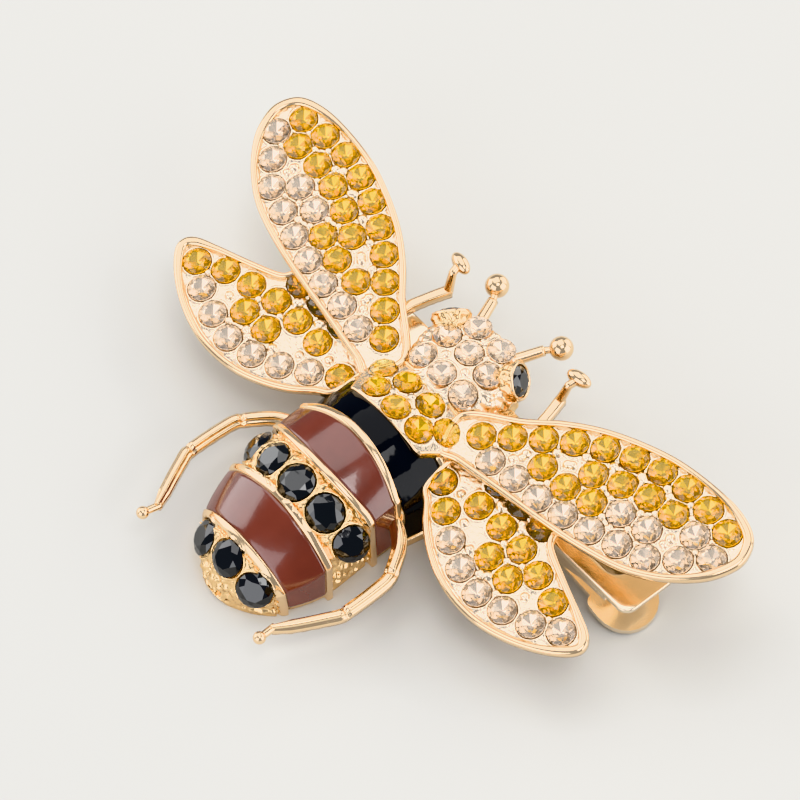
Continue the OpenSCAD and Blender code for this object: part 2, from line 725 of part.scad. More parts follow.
module clip_lever() {
    color([0.86, 0.62, 0.36])
        placed() {
            end_x = pin_x + lever_length;
            w = tab_out * 2;
            difference() {
                union() {
                    intersection() {
                        translate([0, far / 2, 0])
                            rotate([90, 0, 0])
                                linear_extrude(height = far)
                                    polygon(concat(lower_line(0), [for (i = [5:-1:0]) lower_line(-sheet)[i]]));
                        union() {
                            translate([0, 0, -far / 2])
                                linear_extrude(height = far)
                                    rounded_strip(arm_tip, pin_x + 9.5, w, 1.3, 0.2);
                            translate([0, 0, -far / 2])
                                linear_extrude(height = far)
                                    rounded_strip(pin_x + 8.2, end_x, clip_width, 0.8, clip_width / 2 - 0.1);
                        }
                    }
                    for (y = [clip_y - tab_out, clip_y + tab_in])
                        translate([0, y + sheet, 0])
                            rotate([90, 0, 0])
                                linear_extrude(height = sheet)
                                    polygon(concat([for (a = [-10:20:190]) [pin_x + 1.5 * cos(a), pin_z + 1.5 * sin(a)]],
                                        [[pin_x - 3, pin_z - 1.5], [pin_x - 3, lower_z - 0.3], [pin_x + 3, lower_z - 0.4], [pin_x + 3, pin_z - 1.6]]));
                }
                along_pin(0, 20, pin_d / 2 + fit);
            }
        }
}

// lowest level of the strip under the pin, and the side line of the lower arm's top face
lower_z = pin_z - coil_r - 0.25;
function lower_line(d) = [[arm_tip, arm_low - 0.12 + d], [pin_x - 9, arm_low - 0.5 + d], [pin_x - 3.5, lower_z + d],
    [pin_x + 3, lower_z - 0.1 + d], [pin_x + 8.5, 1.6 + sheet + d], [pin_x + lever_length, 0.15 + sheet + d]];

module hinge_pin() {
    color([0.82, 0.6, 0.36])
        placed() {
            along_pin(clip_y - clip_width / 2 - fit, clip_y + clip_width / 2 + fit, pin_d / 2);
            along_pin(clip_y - clip_width / 2 - fit - 0.35, clip_y - clip_width / 2 - fit, pin_d / 2 + 0.35);
            along_pin(clip_y + clip_width / 2 + fit, clip_y + clip_width / 2 + fit + 0.35, pin_d / 2 + 0.35);
        }
}

module spring() {
    wire = 0.55;
    turns = floor((2 * tab_in - 0.3) / wire);
    color([0.8, 0.78, 0.74])
        placed()
            translate([pin_x, clip_y + turns * wire / 2, pin_z])
                rotate([90, 0, 0])
                    rotate_extrude($fn = 48)
                        polygon(concat([[pin_d / 2 + fit, 0]],
                            [for (k = [0:turns - 1]) for (p = [[0.12, 0.1], [0, 0.3], [0, 0.7], [0.12, 0.9]])
                                [coil_r - p[0], (k + p[1]) * wire]],
                            [[pin_d / 2 + fit, turns * wire]]));
}

// pieces
module gold_casting() {
    color([0.93, 0.68, 0.38])
        placed() {
            body_shell();
            difference() {
                union() {
                    collar();
                    head();
                    for (m = [0, 1])
                        mirror([m, 0, 0])
                            wing_plates();
                }
                collar_places()
                    pocket(stone_d);
                head_places()
                    pocket(stone_d);
                eye_places()
                    pocket(eye_d);
            }
            for (m = [0, 1])
                mirror([m, 0, 0]) {
                    rear_leg();
                    front_leg();
                    antenna();
                }
            upper_arm();
        }
}

module enamel_band_front() {
    color([0.36, 0.17, 0.12])
        placed()
            enamel_band(0, 1);
}

module enamel_band_rear() {
    color([0.36, 0.17, 0.12])
        placed()
            enamel_band(2, 3);
}

module thorax_enamel() {
    color([0.06, 0.06, 0.07])
        placed()
            difference() {
                intersection() {
                    thorax_solid(groove - enamel_thick);
                    thorax_zone(-seat);
                }
                thorax_solid(groove - seat);
                abdomen_solid(-seat);
                collar_clear();
                enamel_clear();
            }
}

// space kept free under the edge of the collar
module collar_clear() {
    translate([-collar_half - seat, -3 - seat, 0])
        cube([2 * collar_half + 2 * seat, 8, 30]);
}

module right_fore_yellow() {
    color([0.97, 0.76, 0.1])
        placed()
            fore_frame()
                wing_stones(fore_stones, fore_rows, 1, false);
}

module right_fore_pale() {
    color([0.91, 0.81, 0.75])
        placed()
            fore_frame()
                wing_stones(fore_stones, fore_rows, 1, true);
}

module right_hind_yellow() {
    color([0.97, 0.76, 0.1])
        placed()
            hind_frame()
                wing_stones(hind_stones, hind_rows, 1, false);
}

module right_hind_pale() {
    color([0.91, 0.81, 0.75])
        placed()
            hind_frame()
                wing_stones(hind_stones, hind_rows, 1, true);
}

module left_fore_yellow() {
    color([0.97, 0.76, 0.1])
        placed()
            mirror([1, 0, 0])
                fore_frame()
                    wing_stones(fore_stones, fore_rows, 2, false);
}

module left_fore_pale() {
    color([0.91, 0.81, 0.75])
        placed()
            mirror([1, 0, 0])
                fore_frame()
                    wing_stones(fore_stones, fore_rows, 2, true);
}

module left_hind_yellow() {
    color([0.97, 0.76, 0.1])
        placed()
            mirror([1, 0, 0])
                hind_frame()
                    wing_stones(hind_stones, hind_rows, 2, false);
}

module left_hind_pale() {
    color([0.91, 0.81, 0.75])
        placed()
            mirror([1, 0, 0])
                hind_frame()
                    wing_stones(hind_stones, hind_rows, 2, true);
}

module collar_stones() {
    color([0.97, 0.76, 0.1])
        placed()
            collar_places()
                gem(stone_d);
}

module head_stones() {
    color([0.91, 0.81, 0.75])
        placed()
            head_places()
                gem(stone_d);
}

module eye_stones() {
    color([0.05, 0.05, 0.06])
        placed()
            eye_places()
                gem(eye_d);
}

module abdomen_stones() {
    color([0.05, 0.05, 0.06])
        placed()
            jet_seats()
                gem(jet_d);
}

module tail_stones() {
    color([0.05, 0.05, 0.06])
        placed()
            tail_places()
                gem(jet_d);
}

gold_casting();
enamel_band_front();
enamel_band_rear();
thorax_enamel();
right_fore_yellow();
right_fore_pale();
right_hind_yellow();
right_hind_pale();
left_fore_yellow();
left_fore_pale();
left_hind_yellow();
left_hind_pale();
collar_stones();
head_stones();
eye_stones();
abdomen_stones();
tail_stones();
clip_lever();
hinge_pin();
spring();
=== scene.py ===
import math
import bpy
import numpy as np
from mathutils import Matrix


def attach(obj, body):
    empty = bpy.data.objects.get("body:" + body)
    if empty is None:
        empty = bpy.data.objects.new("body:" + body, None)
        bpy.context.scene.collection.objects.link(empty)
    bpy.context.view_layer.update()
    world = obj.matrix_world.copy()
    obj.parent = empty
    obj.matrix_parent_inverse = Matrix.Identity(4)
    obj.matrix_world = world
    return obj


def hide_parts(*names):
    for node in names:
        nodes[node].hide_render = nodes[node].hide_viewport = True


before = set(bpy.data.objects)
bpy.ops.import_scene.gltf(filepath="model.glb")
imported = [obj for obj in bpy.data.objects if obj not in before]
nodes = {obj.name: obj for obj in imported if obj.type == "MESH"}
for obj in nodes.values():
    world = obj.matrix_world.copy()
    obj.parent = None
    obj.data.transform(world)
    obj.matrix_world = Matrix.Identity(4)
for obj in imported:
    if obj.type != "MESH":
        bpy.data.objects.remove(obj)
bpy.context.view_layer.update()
print("frame loaded")

mm = 0.001  # metres in a millimetre
shift = np.array([0, 4.85, 0])  # the pieces' own origin lies this far ahead of the frame's, in millimetres


# sRGB hex to linear: c/12.92 below 0.04045, ((c+0.055)/1.055)^2.4 above
def linear(hexColour):
    c = np.array([int(hexColour[i:i + 2], 16) for i in (1, 3, 5)]) / 255
    c = np.where(c <= 0.04045, c / 12.92, ((c + 0.055) / 1.055) ** 2.4)
    return (*[float(v) for v in c], 1.0)


# a node with its settings by socket name, and its links as socket name -> output socket
def addNode(tree, kind, values=None, links=None):
    n = tree.nodes.new(kind)
    for key, value in (values or {}).items():
        n.inputs[key].default_value = value
    for key, source in (links or {}).items():
        tree.links.new(source, n.inputs[key])
    return n


# a material without nodes, and its node tree
def newMaterial(name):
    m = bpy.data.materials.new(name)
    m.use_nodes = True
    m.node_tree.nodes.clear()
    return m, m.node_tree


# the shader goes to the material's surface
def finishMaterial(tree, shader):
    addNode(tree, "ShaderNodeOutputMaterial", links={"Surface": shader.outputs[0]})


# metal, flash plated in pale rose gold: a mirror with the faint ripples of its skin; one noise of the given
# grain gives both the height, strength * 0.1 mm * noise, and the roughness, 0.75 to 1.35 of the given value
def platedGold(name, grainMm, bumpStrength, roughness, colour):
    m, t = newMaterial(name)
    coord = addNode(t, "ShaderNodeTexCoord")
    ripple = addNode(t, "ShaderNodeTexNoise", {"Scale": 1000 / grainMm, "Detail": 3.0, "Roughness": 0.55},
                     {"Vector": coord.outputs["Object"]})
    bump = addNode(t, "ShaderNodeBump", {"Strength": bumpStrength, "Distance": 0.1 * mm},
                   {"Height": ripple.outputs["Fac"]})
    haze = addNode(t, "ShaderNodeMapRange", {"From Min": 0.3, "From Max": 0.7, "To Min": roughness * 0.75,
                                             "To Max": roughness * 1.35}, {"Value": ripple.outputs["Fac"]})
    shader = addNode(t, "ShaderNodeBsdfPrincipled", {"Base Color": linear(colour), "Metallic": 1.0},
                     {"Normal": bump.outputs["Normal"], "Roughness": haze.outputs["Result"]})
    finishMaterial(t, shader)
    return m


enamelSkin = {"waveMm": 2.381, "waveStrength": 0.2, "waveHigh": 0.2, "cloudMm": 6.25, "cloud": (0.35, 0.65)}


# enamel stoved over metal, and the black glass: deep gloss, slow waves that bend its highlights, and clouds
# of a darker tone; the colour goes from dark to light while the cloud noise goes from its first value to its
# second
def stovedEnamel(name, colour, dark, roughness, coat, shine):
    m, t = newMaterial(name)
    coord = addNode(t, "ShaderNodeTexCoord")
    wave = addNode(t, "ShaderNodeTexNoise", {"Scale": 1000 / enamelSkin["waveMm"], "Detail": 2.0},
                   {"Vector": coord.outputs["Object"]})
    bump = addNode(t, "ShaderNodeBump", {"Strength": enamelSkin["waveStrength"],
                                         "Distance": enamelSkin["waveHigh"] * mm},
                   {"Height": wave.outputs["Fac"]})
    tone = addNode(t, "ShaderNodeTexNoise", {"Scale": 1000 / enamelSkin["cloudMm"], "Detail": 3.0},
                   {"Vector": coord.outputs["Object"]})
    ramp = addNode(t, "ShaderNodeValToRGB", links={"Fac": tone.outputs["Fac"]})
    for element, position, c in zip(ramp.color_ramp.elements, enamelSkin["cloud"], (dark, colour)):
        element.position = position
        element.color = linear(c)
    shader = addNode(t, "ShaderNodeBsdfPrincipled",
                     {"Roughness": roughness, "IOR": 1.55, "Coat Weight": coat, "Coat Roughness": 0.04,
                      "Specular IOR Level": shine},
                     {"Normal": bump.outputs["Normal"], "Base Color": ramp.outputs["Color"]})
    finishMaterial(t, shader)
    return m


# cut and polished lead glass: clear, and each facet bends what lies behind it its own way
def cutGlass(name, colour):
    m, t = newMaterial(name)
    finishMaterial(t, addNode(t, "ShaderNodeBsdfPrincipled", {"Base Color": linear(colour), "Roughness": 0.0,
                                                              "IOR": 1.54, "Transmission Weight": 1.0}))
    return m


# foil painted on the back of a glass stone: a coloured mirror, a little hazy
def mirrorFoil(name, colour):
    m, t = newMaterial(name)
    finishMaterial(t, addNode(t, "ShaderNodeBsdfPrincipled", {"Base Color": linear(colour), "Metallic": 0.82,
                                                              "Roughness": 0.09}))
    return m


gold = platedGold("polishedPlatedGold", 1.1, 0.12, 0.13, "#FBDBB2")  # buffed casting: bright rims and limbs
# the cast floors and tops share the rims' plating; their paler colour is a painted highlight, the bright
# sheen of flat tops that mirror the light overhead
goldBedPaintedSheen = platedGold("castPlatedGoldPaintedSheen", 0.35, 0.5, 0.2, "#FCE7CC")  # skin as cast: fine and hazy; its paler colour is painted sheen
goldNugget = platedGold("nuggetPlatedGold", 0.8, 1.0, 0.14, "#FAD5A0")  # cast lumps: many small warm glints
clipMetal = platedGold("platedSteelClip", 1.4, 0.1, 0.16, "#F2E0C6")  # pressed steel strip: smooth, paler
brownEnamel = stovedEnamel("brownEnamel", "#6E3325", "#5D291C", 0.2, 0.6, 0.5)  # chestnut under a gloss
blackEnamel = stovedEnamel("blackEnamel", "#0C0D12", "#07080C", 0.06, 0.0, 0.2)  # deep, with few lights
jetGlass = stovedEnamel("jetGlass", "#07080B", "#050608", 0.03, 0.6, 0.5)  # cut, with sharp white lights
yellowGlass = cutGlass("yellowGlass", "#FFF7B4")  # clear with a light tint
yellowFoil = mirrorFoil("yellowFoil", "#FFD324")  # gives the stones their lemon to amber
paleGlass = cutGlass("champagneGlass", "#FFFDFA")  # clear as water
paleFoil = mirrorFoil("champagneFoil", "#FEE9D2")  # gives the stones a faint warm white
print("materials made")


# Catmull-Rom curve at n shares t of each span from b to c, a before and d after them:
# half of (2b + (c-a)t + (2a-5b+4c-d)t^2 + (3b-a-3c+d)t^3)
def curveSpans(a, b, c, d, n):
    a, b, c, d = (q[:, None] for q in (a, b, c, d))
    t = (np.arange(n) / n)[None, :, None]
    q = 0.5 * (2 * b + (c - a) * t + (2 * a - 5 * b + 4 * c - d) * t ** 2 + (3 * b - a - 3 * c + d) * t ** 3)
    return q.reshape(-1, q.shape[-1])


# that curve closed through its points
def smoothRing(points, n):
    p = np.asarray(points, float)
    return curveSpans(np.roll(p, 1, 0), p, np.roll(p, -1, 0), np.roll(p, -2, 0), n)


# the same curve left open, its ends carried on straight
def smoothLine(points, n):
    p = np.asarray(points, float)
    p = np.concatenate([[2 * p[0] - p[1]], p, [2 * p[-1] - p[-2]]])
    return np.concatenate([curveSpans(p[:-3], p[1:-2], p[2:-1], p[3:], n), p[-2:-1]])


# unit tangents of a line or ring by central differences
def tangents(p, closed=False):
    d = np.roll(p, -1, 0) - np.roll(p, 1, 0) if closed else np.gradient(p, axis=0)
    return d / np.linalg.norm(d, axis=-1, keepdims=True)


# unit directions to the right of a flat line, inwards for a clockwise ring: the tangents turned a quarter
# clockwise
def rightward(p, closed=False):
    t = tangents(p, closed)
    return np.stack([t[:, 1], -t[:, 0]], 1)


# clockwise ring moved inwards by d: p + d * rightward
def insetRing(p, d):
    return p + d * rightward(p, True)


# evenly spaced points along a ring or line, by running length
def evenly(p, count, closed=False):
    q = np.concatenate([p, p[:1]]) if closed else p
    s = np.concatenate([[0], np.cumsum(np.linalg.norm(np.diff(q, axis=0), axis=1))])
    at = np.linspace(0, s[-1], count, endpoint=not closed)
    return np.stack([np.interp(at, s, q[:, k]) for k in range(q.shape[1])], 1)


# share that goes from 0 at a start to 1 after a stretch
def fade(x, start, over):
    return np.clip((x - start) / over, 0, 1)


# a low swelling or groove across a distance x: size * exp(-((x - at) / width)^2)
def swell(x, size, at, width):
    return size * np.exp(-((x - at) / width) ** 2)


# points in plan at one height, or each at its own
def raised(p, z):
    return np.column_stack([p, np.broadcast_to(z, len(p))])


# quads of a grid of points: corner (i, j), then (i, j+1), (i+1, j+1) and (i+1, j)
def gridFaces(rows, cols, wrapRows, wrapCols):
    i, j = np.meshgrid(np.arange(rows - (not wrapRows)), np.arange(cols - (not wrapCols)), indexing="ij")
    i2, j2 = (i + 1) % rows, (j + 1) % cols
    return np.stack([i * cols + j, i * cols + j2, i2 * cols + j2, i2 * cols + j], -1).reshape(-1, 4)


# a mesh becomes a piece of the brooch, with a material number for each face
def addPiece(name, mesh, materials, numbers, smooth, replaced):
    for m in materials:
        mesh.materials.append(m)
    mesh.polygons.foreach_set("material_index", np.asarray(numbers, np.int32))
    mesh.polygons.foreach_set("use_smooth", np.full(len(mesh.polygons), smooth))
    mesh.update(calc_edges=True)
    mesh.validate()
    o = bpy.data.objects.new(name, mesh)
    bpy.context.scene.collection.objects.link(o)
    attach(o, "brooch")
    if replaced:
        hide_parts(*replaced)


# a piece from grids, each (points [rows, cols, 3] in mm, wrapRows, wrapCols, flipped, material number)
def gridPiece(name, grids, materials, replaced=()):
    allV, allF, allM, start = [], [], [], 0
    for points, wrapRows, wrapCols, flipped, number in grids:
        rows, cols = points.shape[:2]
        f = gridFaces(rows, cols, wrapRows, wrapCols) + start
        allV.append(points.reshape(-1, 3))
        allF.append(f[:, ::-1] if flipped else f)
        allM.append(np.broadcast_to(number, (rows - (not wrapRows), cols - (not wrapCols))).ravel())
        start += rows * cols
    v, f = np.concatenate(allV) * mm, np.concatenate(allF)
    mesh = bpy.data.meshes.new(name)
    mesh.vertices.add(len(v))
    mesh.vertices.foreach_set("co", v.ravel())
    mesh.loops.add(f.size)
    mesh.loops.foreach_set("vertex_index", f.ravel().astype(np.int32))
    mesh.polygons.add(len(f))
    mesh.polygons.foreach_set("loop_start", np.arange(0, f.size, 4, dtype=np.int32))
    addPiece(name, mesh, materials, np.concatenate(allM), True, replaced)


# every CAD stone is found as its own island of triangles: each corner takes the lowest label round it until
# none changes; the axis is the normal of the largest flat, which is the table, the diameter is twice the
# largest radius round it, and the place is on the axis at the mean height of the points within 1 % of that
# radius
def stonePlaces(nodeName):
    mesh = nodes[nodeName].data
    co = np.zeros(len(mesh.vertices) * 3)
    mesh.vertices.foreach_get("co", co)
    mesh.calc_loop_triangles()
    tri = np.zeros(len(mesh.loop_triangles) * 3, np.int32)
    mesh.loop_triangles.foreach_get("vertices", tri)
    # corners that share a place, to a thousandth of a millimetre, become one
    key, same = np.unique(np.round(co.reshape(-1, 3) * 1e6).astype(np.int64), axis=0, return_inverse=True)
    tri = same.reshape(-1)[tri.reshape(-1, 3)]
    label = np.arange(len(key))
    while True:
        new = label.copy()
        for k in range(3):
            np.minimum.at(new, tri[:, k], label[tri].min(1))
        new = new[new]
        if (new == label).all():
            break
        label = new
    found = []
    points = key / 1000
    for v in np.unique(label):
        p = points[label == v]
        a, b, c = (points[corner] for corner in tri[label[tri[:, 0]] == v].T)
        n = np.cross(b - a, c - a)
        area = np.linalg.norm(n, axis=1)
        n, area = n[area > 1e-9] / area[area > 1e-9, None], area[area > 1e-9]
        axis = n[np.argmax((n @ n.T > 0.9999) @ area)]
        centre = p.mean(0)
        h = (p - centre) @ axis
        r = np.linalg.norm((p - centre) - h[:, None] * axis, axis=1)
        found.append((centre + axis * h[r > r.max() * 0.99].mean(), axis, 2 * r.max()))
    return found


places = {name: stonePlaces(name) for name in nodes if name.endswith(("_stones", "_yellow", "_pale"))}


# a node's stones as (centre, axis, diameter) round the pieces' own origin
def stoneList(name):
    return [(c - shift, a, d) for c, a, d in places[name]]


# brilliant cut: shares of the diameter, and the steps in which neighbouring stones lean
gemShape = {"table": 0.58, "crown": 0.16, "girdle": 0.02, "pavilion": 0.2, "star": 0.8, "lowerStar": 0.62,
            "lean": 0.022}


# ring of points (r cos a, r sin a, z)
def gemRing(a, r, z):
    return np.stack([r * np.cos(a), r * np.sin(a), np.full(len(a), z)], 1)


# a stone of diameter 1: rings for table, stars, both edges of the girdle and lower stars, and the tip,
# joined into table, stars, kites, halves, girdle and the pavilion's kites and halves; a star lies on the
# line from table to girdle
def gemMesh(g):
    corner, between = np.radians(22.5 + 45 * np.arange(8)), np.radians(45 * (np.arange(8) + 1))
    girdle = np.radians(22.5 * np.arange(16))
    rt, rs, rl = g["table"] / 2, g["star"] / 2, g["lowerStar"] / 2
    zt, zg, zp = g["crown"], g["girdle"], g["pavilion"]
    zs = zt - (rs * math.cos(math.pi / 8) - rt) / (0.5 - rt) * (zt - zg)
    zl = -zg - (0.5 - rl * math.cos(math.pi / 8)) / 0.5 * (zp - zg)
    v = np.concatenate([gemRing(corner, rt, zt), gemRing(between, rs, zs), gemRing(girdle, 0.5, zg),
                        gemRing(girdle, 0.5, -zg), gemRing(between, rl, zl), [[0, 0, -zp]]])
    k, j = np.arange(8), np.arange(16)
    n, last = (k + 1) % 8, (k - 1) % 8
    # girdle points under the table's corners and between them
    up, mid = 16 + (2 * k + 1) % 16, 16 + (2 * k + 2) % 16
    crown = [(k, 8 + k, n), (k, 8 + last, up, 8 + k), (8 + k, up, mid), (8 + k, mid, up[n]),
             (16 + j, 32 + j, 32 + (j + 1) % 16, 16 + (j + 1) % 16)]
    up, mid = up + 16, mid + 16
    pavilion = [(up, 48 + last, np.full(8, 56), 48 + k), (up, 48 + k, mid), (mid, 48 + k, up[n])]
    crown, pavilion = ([f for group in part for f in np.stack(group, 1).tolist()]
                       for part in (crown, pavilion))
    return v, [list(range(8))] + crown + pavilion, 1 + len(crown)


# a cut stone at each of a node's places: stone i is turned by 2.4 i about its axis, and the axis leans by
# lean * (i mod 3) towards cos 3.9 i * turn + sin 3.9 i * (axis x turn)
def setStones(name, source, glass, foil):
    v, faces, crownFaces = gemMesh(gemShape)
    allV, allF, allM = [], [], []
    for i, (centre, axis, d) in enumerate(places[source]):
        start = [math.cos(2.4 * i), math.sin(2.4 * i), 0.1]
        turn = np.cross(axis, start)
        tilt = math.cos(3.9 * i) * turn + math.sin(3.9 * i) * np.cross(axis, turn)
        axis = axis + gemShape["lean"] * (i % 3) * tilt
        axis /= np.linalg.norm(axis)
        side = np.cross(axis, start)
        side /= np.linalg.norm(side)
        allV.append(centre + d * v @ np.stack([side, np.cross(axis, side), axis]))
        allF += [[q + i * len(v) for q in f] for f in faces]
        allM += [0] * crownFaces + [1] * (len(faces) - crownFaces)
    mesh = bpy.data.meshes.new(name)
    mesh.from_pydata((np.concatenate(allV) * mm).tolist(), [], allF)
    addPiece(name, mesh, [glass, foil], allM, False, [source])


for side in ("right", "left"):
    for wing in ("fore", "hind"):
        setStones(f"{side}{wing.title()}YellowStones", f"{side}_{wing}_yellow", yellowGlass, yellowFoil)
        setStones(f"{side}{wing.title()}PaleStones", f"{side}_{wing}_pale", paleGlass, paleFoil)
setStones("collarStones", "collar_stones", yellowGlass, yellowFoil)
setStones("headStones", "head_stones", paleGlass, paleFoil)
for part in ("eye", "abdomen", "tail"):
    setStones(f"{part}Stones", f"{part}_stones", jetGlass, jetGlass)
print("stones set")

# wells and bezels, in mm; the depth is a share of the stone's diameter, and a point further than the height
# limit from the stone's girdle isn't touched
well = {"gap": 0.06, "lip": 0.09, "lipOut": 0.13, "lipWidth": 0.09, "depth": 0.2, "reach": 0.6,
        "heightLimit": 9.0}


# a point inside a stone's edge, its radius and the gap, drops to the well's floor, a point within half a
# step of the edge moves onto it, and outside it the metal stands up in a low bezel, a swelling at lipOut
# from the edge
def sinkWells(points, stones, step, **changed):
    s = {**well, **changed}
    points = points.copy()
    for centre, axis, d in stones:
        edge = d / 2 + s["gap"]
        rel = points - centre
        h = rel @ axis
        flat = rel - h[..., None] * axis
        r = np.linalg.norm(flat, axis=-1)
        near = (r < edge + s["reach"]) & (np.abs(h) < s["heightLimit"])
        onEdge = near & (np.abs(r - edge) < 0.5 * step)
        inside = near & (r < edge) & ~onEdge
        scale = np.where(onEdge, edge / np.maximum(r, 1e-6), 1.0)
        bezel = h + swell(r - edge, s["lip"], s["lipOut"], s["lipWidth"])
        height = np.where(inside, np.minimum(h, -s["depth"] * d), bezel)
        moved = centre + flat * scale[..., None] + height[..., None] * axis
        points = np.where(near[..., None], moved, points)
    return points


castWaves = ([1, 0.6, 0.5], [-0.6, 1, 0.7], [0.5, -0.8, 1.1])  # directions of the three waves of a cast skin


# cast roughness: points move along the grid's normal by mask * amount * (sum of the waves - 1), where wave
# k is sin(2 pi p.d / size + 1.7 k + 1.3 sin(2.6 p.e / size)), and e is the direction d read backwards
def roughen(points, mask, size, amount):
    n = np.cross(np.gradient(points, axis=0), np.gradient(points, axis=1))
    n /= np.linalg.norm(n, axis=-1, keepdims=True) + 1e-9
    wave = 0
    for k, d in enumerate(castWaves):
        bend = 1.3 * np.sin(points @ np.array(d[::-1]) * 2.6 / size)
        wave = wave + np.sin(points @ np.array(d) * 2 * math.pi / size + 1.7 * k + bend)
    return points + n * ((wave - 1) * mask * amount)[..., None]


# distance of each point to the nearest stone's centre
def awayFrom(points, stones):
    return np.min([np.linalg.norm(points - c, axis=-1) for c, axis, d in stones], axis=0)


# beads stand in the gaps between stones: radius from least to most, less the clearance, and at most largest
beadFit = {"least": 0.1, "most": 1.1, "clearance": 0.03, "largest": 0.48}


# a bead stands where three stones leave room: at the centre of the circle through their centres, if no
# fourth stone is nearer, with that circle's radius less the stones' own
def beadPlaces(stones):
    c, radius = np.array([s[0][:2] for s in stones]), stones[0][2] / 2
    i, j, k = (q.ravel() for q in np.meshgrid(*[np.arange(len(c))] * 3, indexing="ij"))
    keep = (i < j) & (j < k)
    i, j, k = i[keep], j[keep], k[keep]
    a, b, d = c[i], c[j] - c[i], c[k] - c[i]
    cross = 2 * (b[:, 0] * d[:, 1] - b[:, 1] * d[:, 0])
    wide = np.abs(cross) > 0.5  # three stones in a row give no circle
    a, b, d, cross = a[wide], b[wide], d[wide], cross[wide]
    bb, dd = (b ** 2).sum(1), (d ** 2).sum(1)
    u = np.stack([(d[:, 1] * bb - b[:, 1] * dd) / cross, (b[:, 0] * dd - d[:, 0] * bb) / cross], 1)
    size = np.linalg.norm(u, axis=1)
    clear = np.linalg.norm((a + u)[:, None] - c[None], axis=2).min(1) > size - 1e-6
    ok = clear & (size < radius + beadFit["most"]) & (size > radius + beadFit["least"])
    return (a + u)[ok], np.minimum(size[ok] - radius - beadFit["clearance"], beadFit["largest"])


# distance in plan of each point to each bead, in the bead's radii
def beadDistance(points, beads, sizes):
    return np.linalg.norm(points[..., None, :2] - beads, axis=-1) / sizes


# height of the beads at those distances: height * sqrt(1 - distance^2) inside a bead, and the highest counts
def beadRise(away, heights):
    return (np.sqrt(np.clip(1 - away ** 2, 0, 1)) * heights).max(-1)


# each wing's sizes in mm and angles in degrees, its outline in shares of length and width, then what all
# four share: heights from the wing's plane, the grid's step, swellings and grooves as (size, at, width),
# where the grain starts outside a stone and over what stretch, and the rim's section beside its crown
wings = {
    "fore": {
        "length": 30.9, "width": 13.0, "sweep": 18.8, "pitch": 12.0, "rise": 1.4, "root": (6.2985, 2.0, 9.8),
        "outline": [[-0.05, 0.17], [0.147, 0.335], [0.267, 0.452], [0.391, 0.53], [0.533, 0.562],
                    [0.675, 0.549], [0.828, 0.468], [0.933, 0.367], [0.999, 0.232], [1.011, 0.05],
                    [0.979, -0.101], [0.914, -0.242], [0.805, -0.364], [0.676, -0.428], [0.52, -0.412],
                    [0.367, -0.36], [0.206, -0.289], [0.028, -0.216], [-0.05, -0.19]]},
    "hind": {
        "length": 23.9, "width": 11.5, "sweep": -4.4, "pitch": 12.6, "rise": 1.4,
        "root": (7.395, -2.15, 7.7003),
        "outline": [[-0.04, 0.3], [0.1, 0.48], [0.22, 0.555], [0.345, 0.585], [0.45, 0.56], [0.522, 0.47],
                    [0.562, 0.372], [0.709, 0.272], [0.859, 0.186], [0.958, 0.118], [0.999, 0.018],
                    [0.983, -0.11], [0.897, -0.286], [0.773, -0.445], [0.634, -0.554], [0.505, -0.589],
                    [0.374, -0.571], [0.254, -0.498], [0.144, -0.387], [0.055, -0.25], [-0.02, -0.12]]},
    "inset": 0.012, "bedInset": 0.5, "bed": -0.14, "base": -0.65, "step": 0.115, "endGap": 0.01,
    "crowd": 0.12, "across": 0.97, "beadHigh": 0.4, "beadGroove": (0.07, 1.25, 0.2),
    "rimGroove": (0.1, 0.22, 0.12), "grain": 0.8, "grainHigh": 0.012, "bare": (0.25, 0.2),
    "rimPoints": 560, "rimWidth": 0.66, "rimLow": 0.05, "rimTop": 0.35, "tipRim": 0.34, "tipFrom": 0.8,
    "rimOutside": [[0.16, -0.65], [0.0, -0.5], [0.0, -0.2]], "rimInside": [[1.0, -0.3], [0.9, -0.65]]}


# turn by sweep in the wing's plane, then rise, then pitch
def wingMatrix(w):
    a, b, c = (math.radians(w[k]) for k in ("sweep", "rise", "pitch"))
    turn = np.array([[math.cos(a), -math.sin(a), 0], [math.sin(a), math.cos(a), 0], [0, 0, 1]])
    rise = np.array([[math.cos(b), 0, -math.sin(b)], [0, 1, 0], [math.sin(b), 0, math.cos(b)]])
    pitch = np.array([[1, 0, 0], [0, math.cos(c), -math.sin(c)], [0, math.sin(c), math.cos(c)]])
    return pitch @ rise @ turn


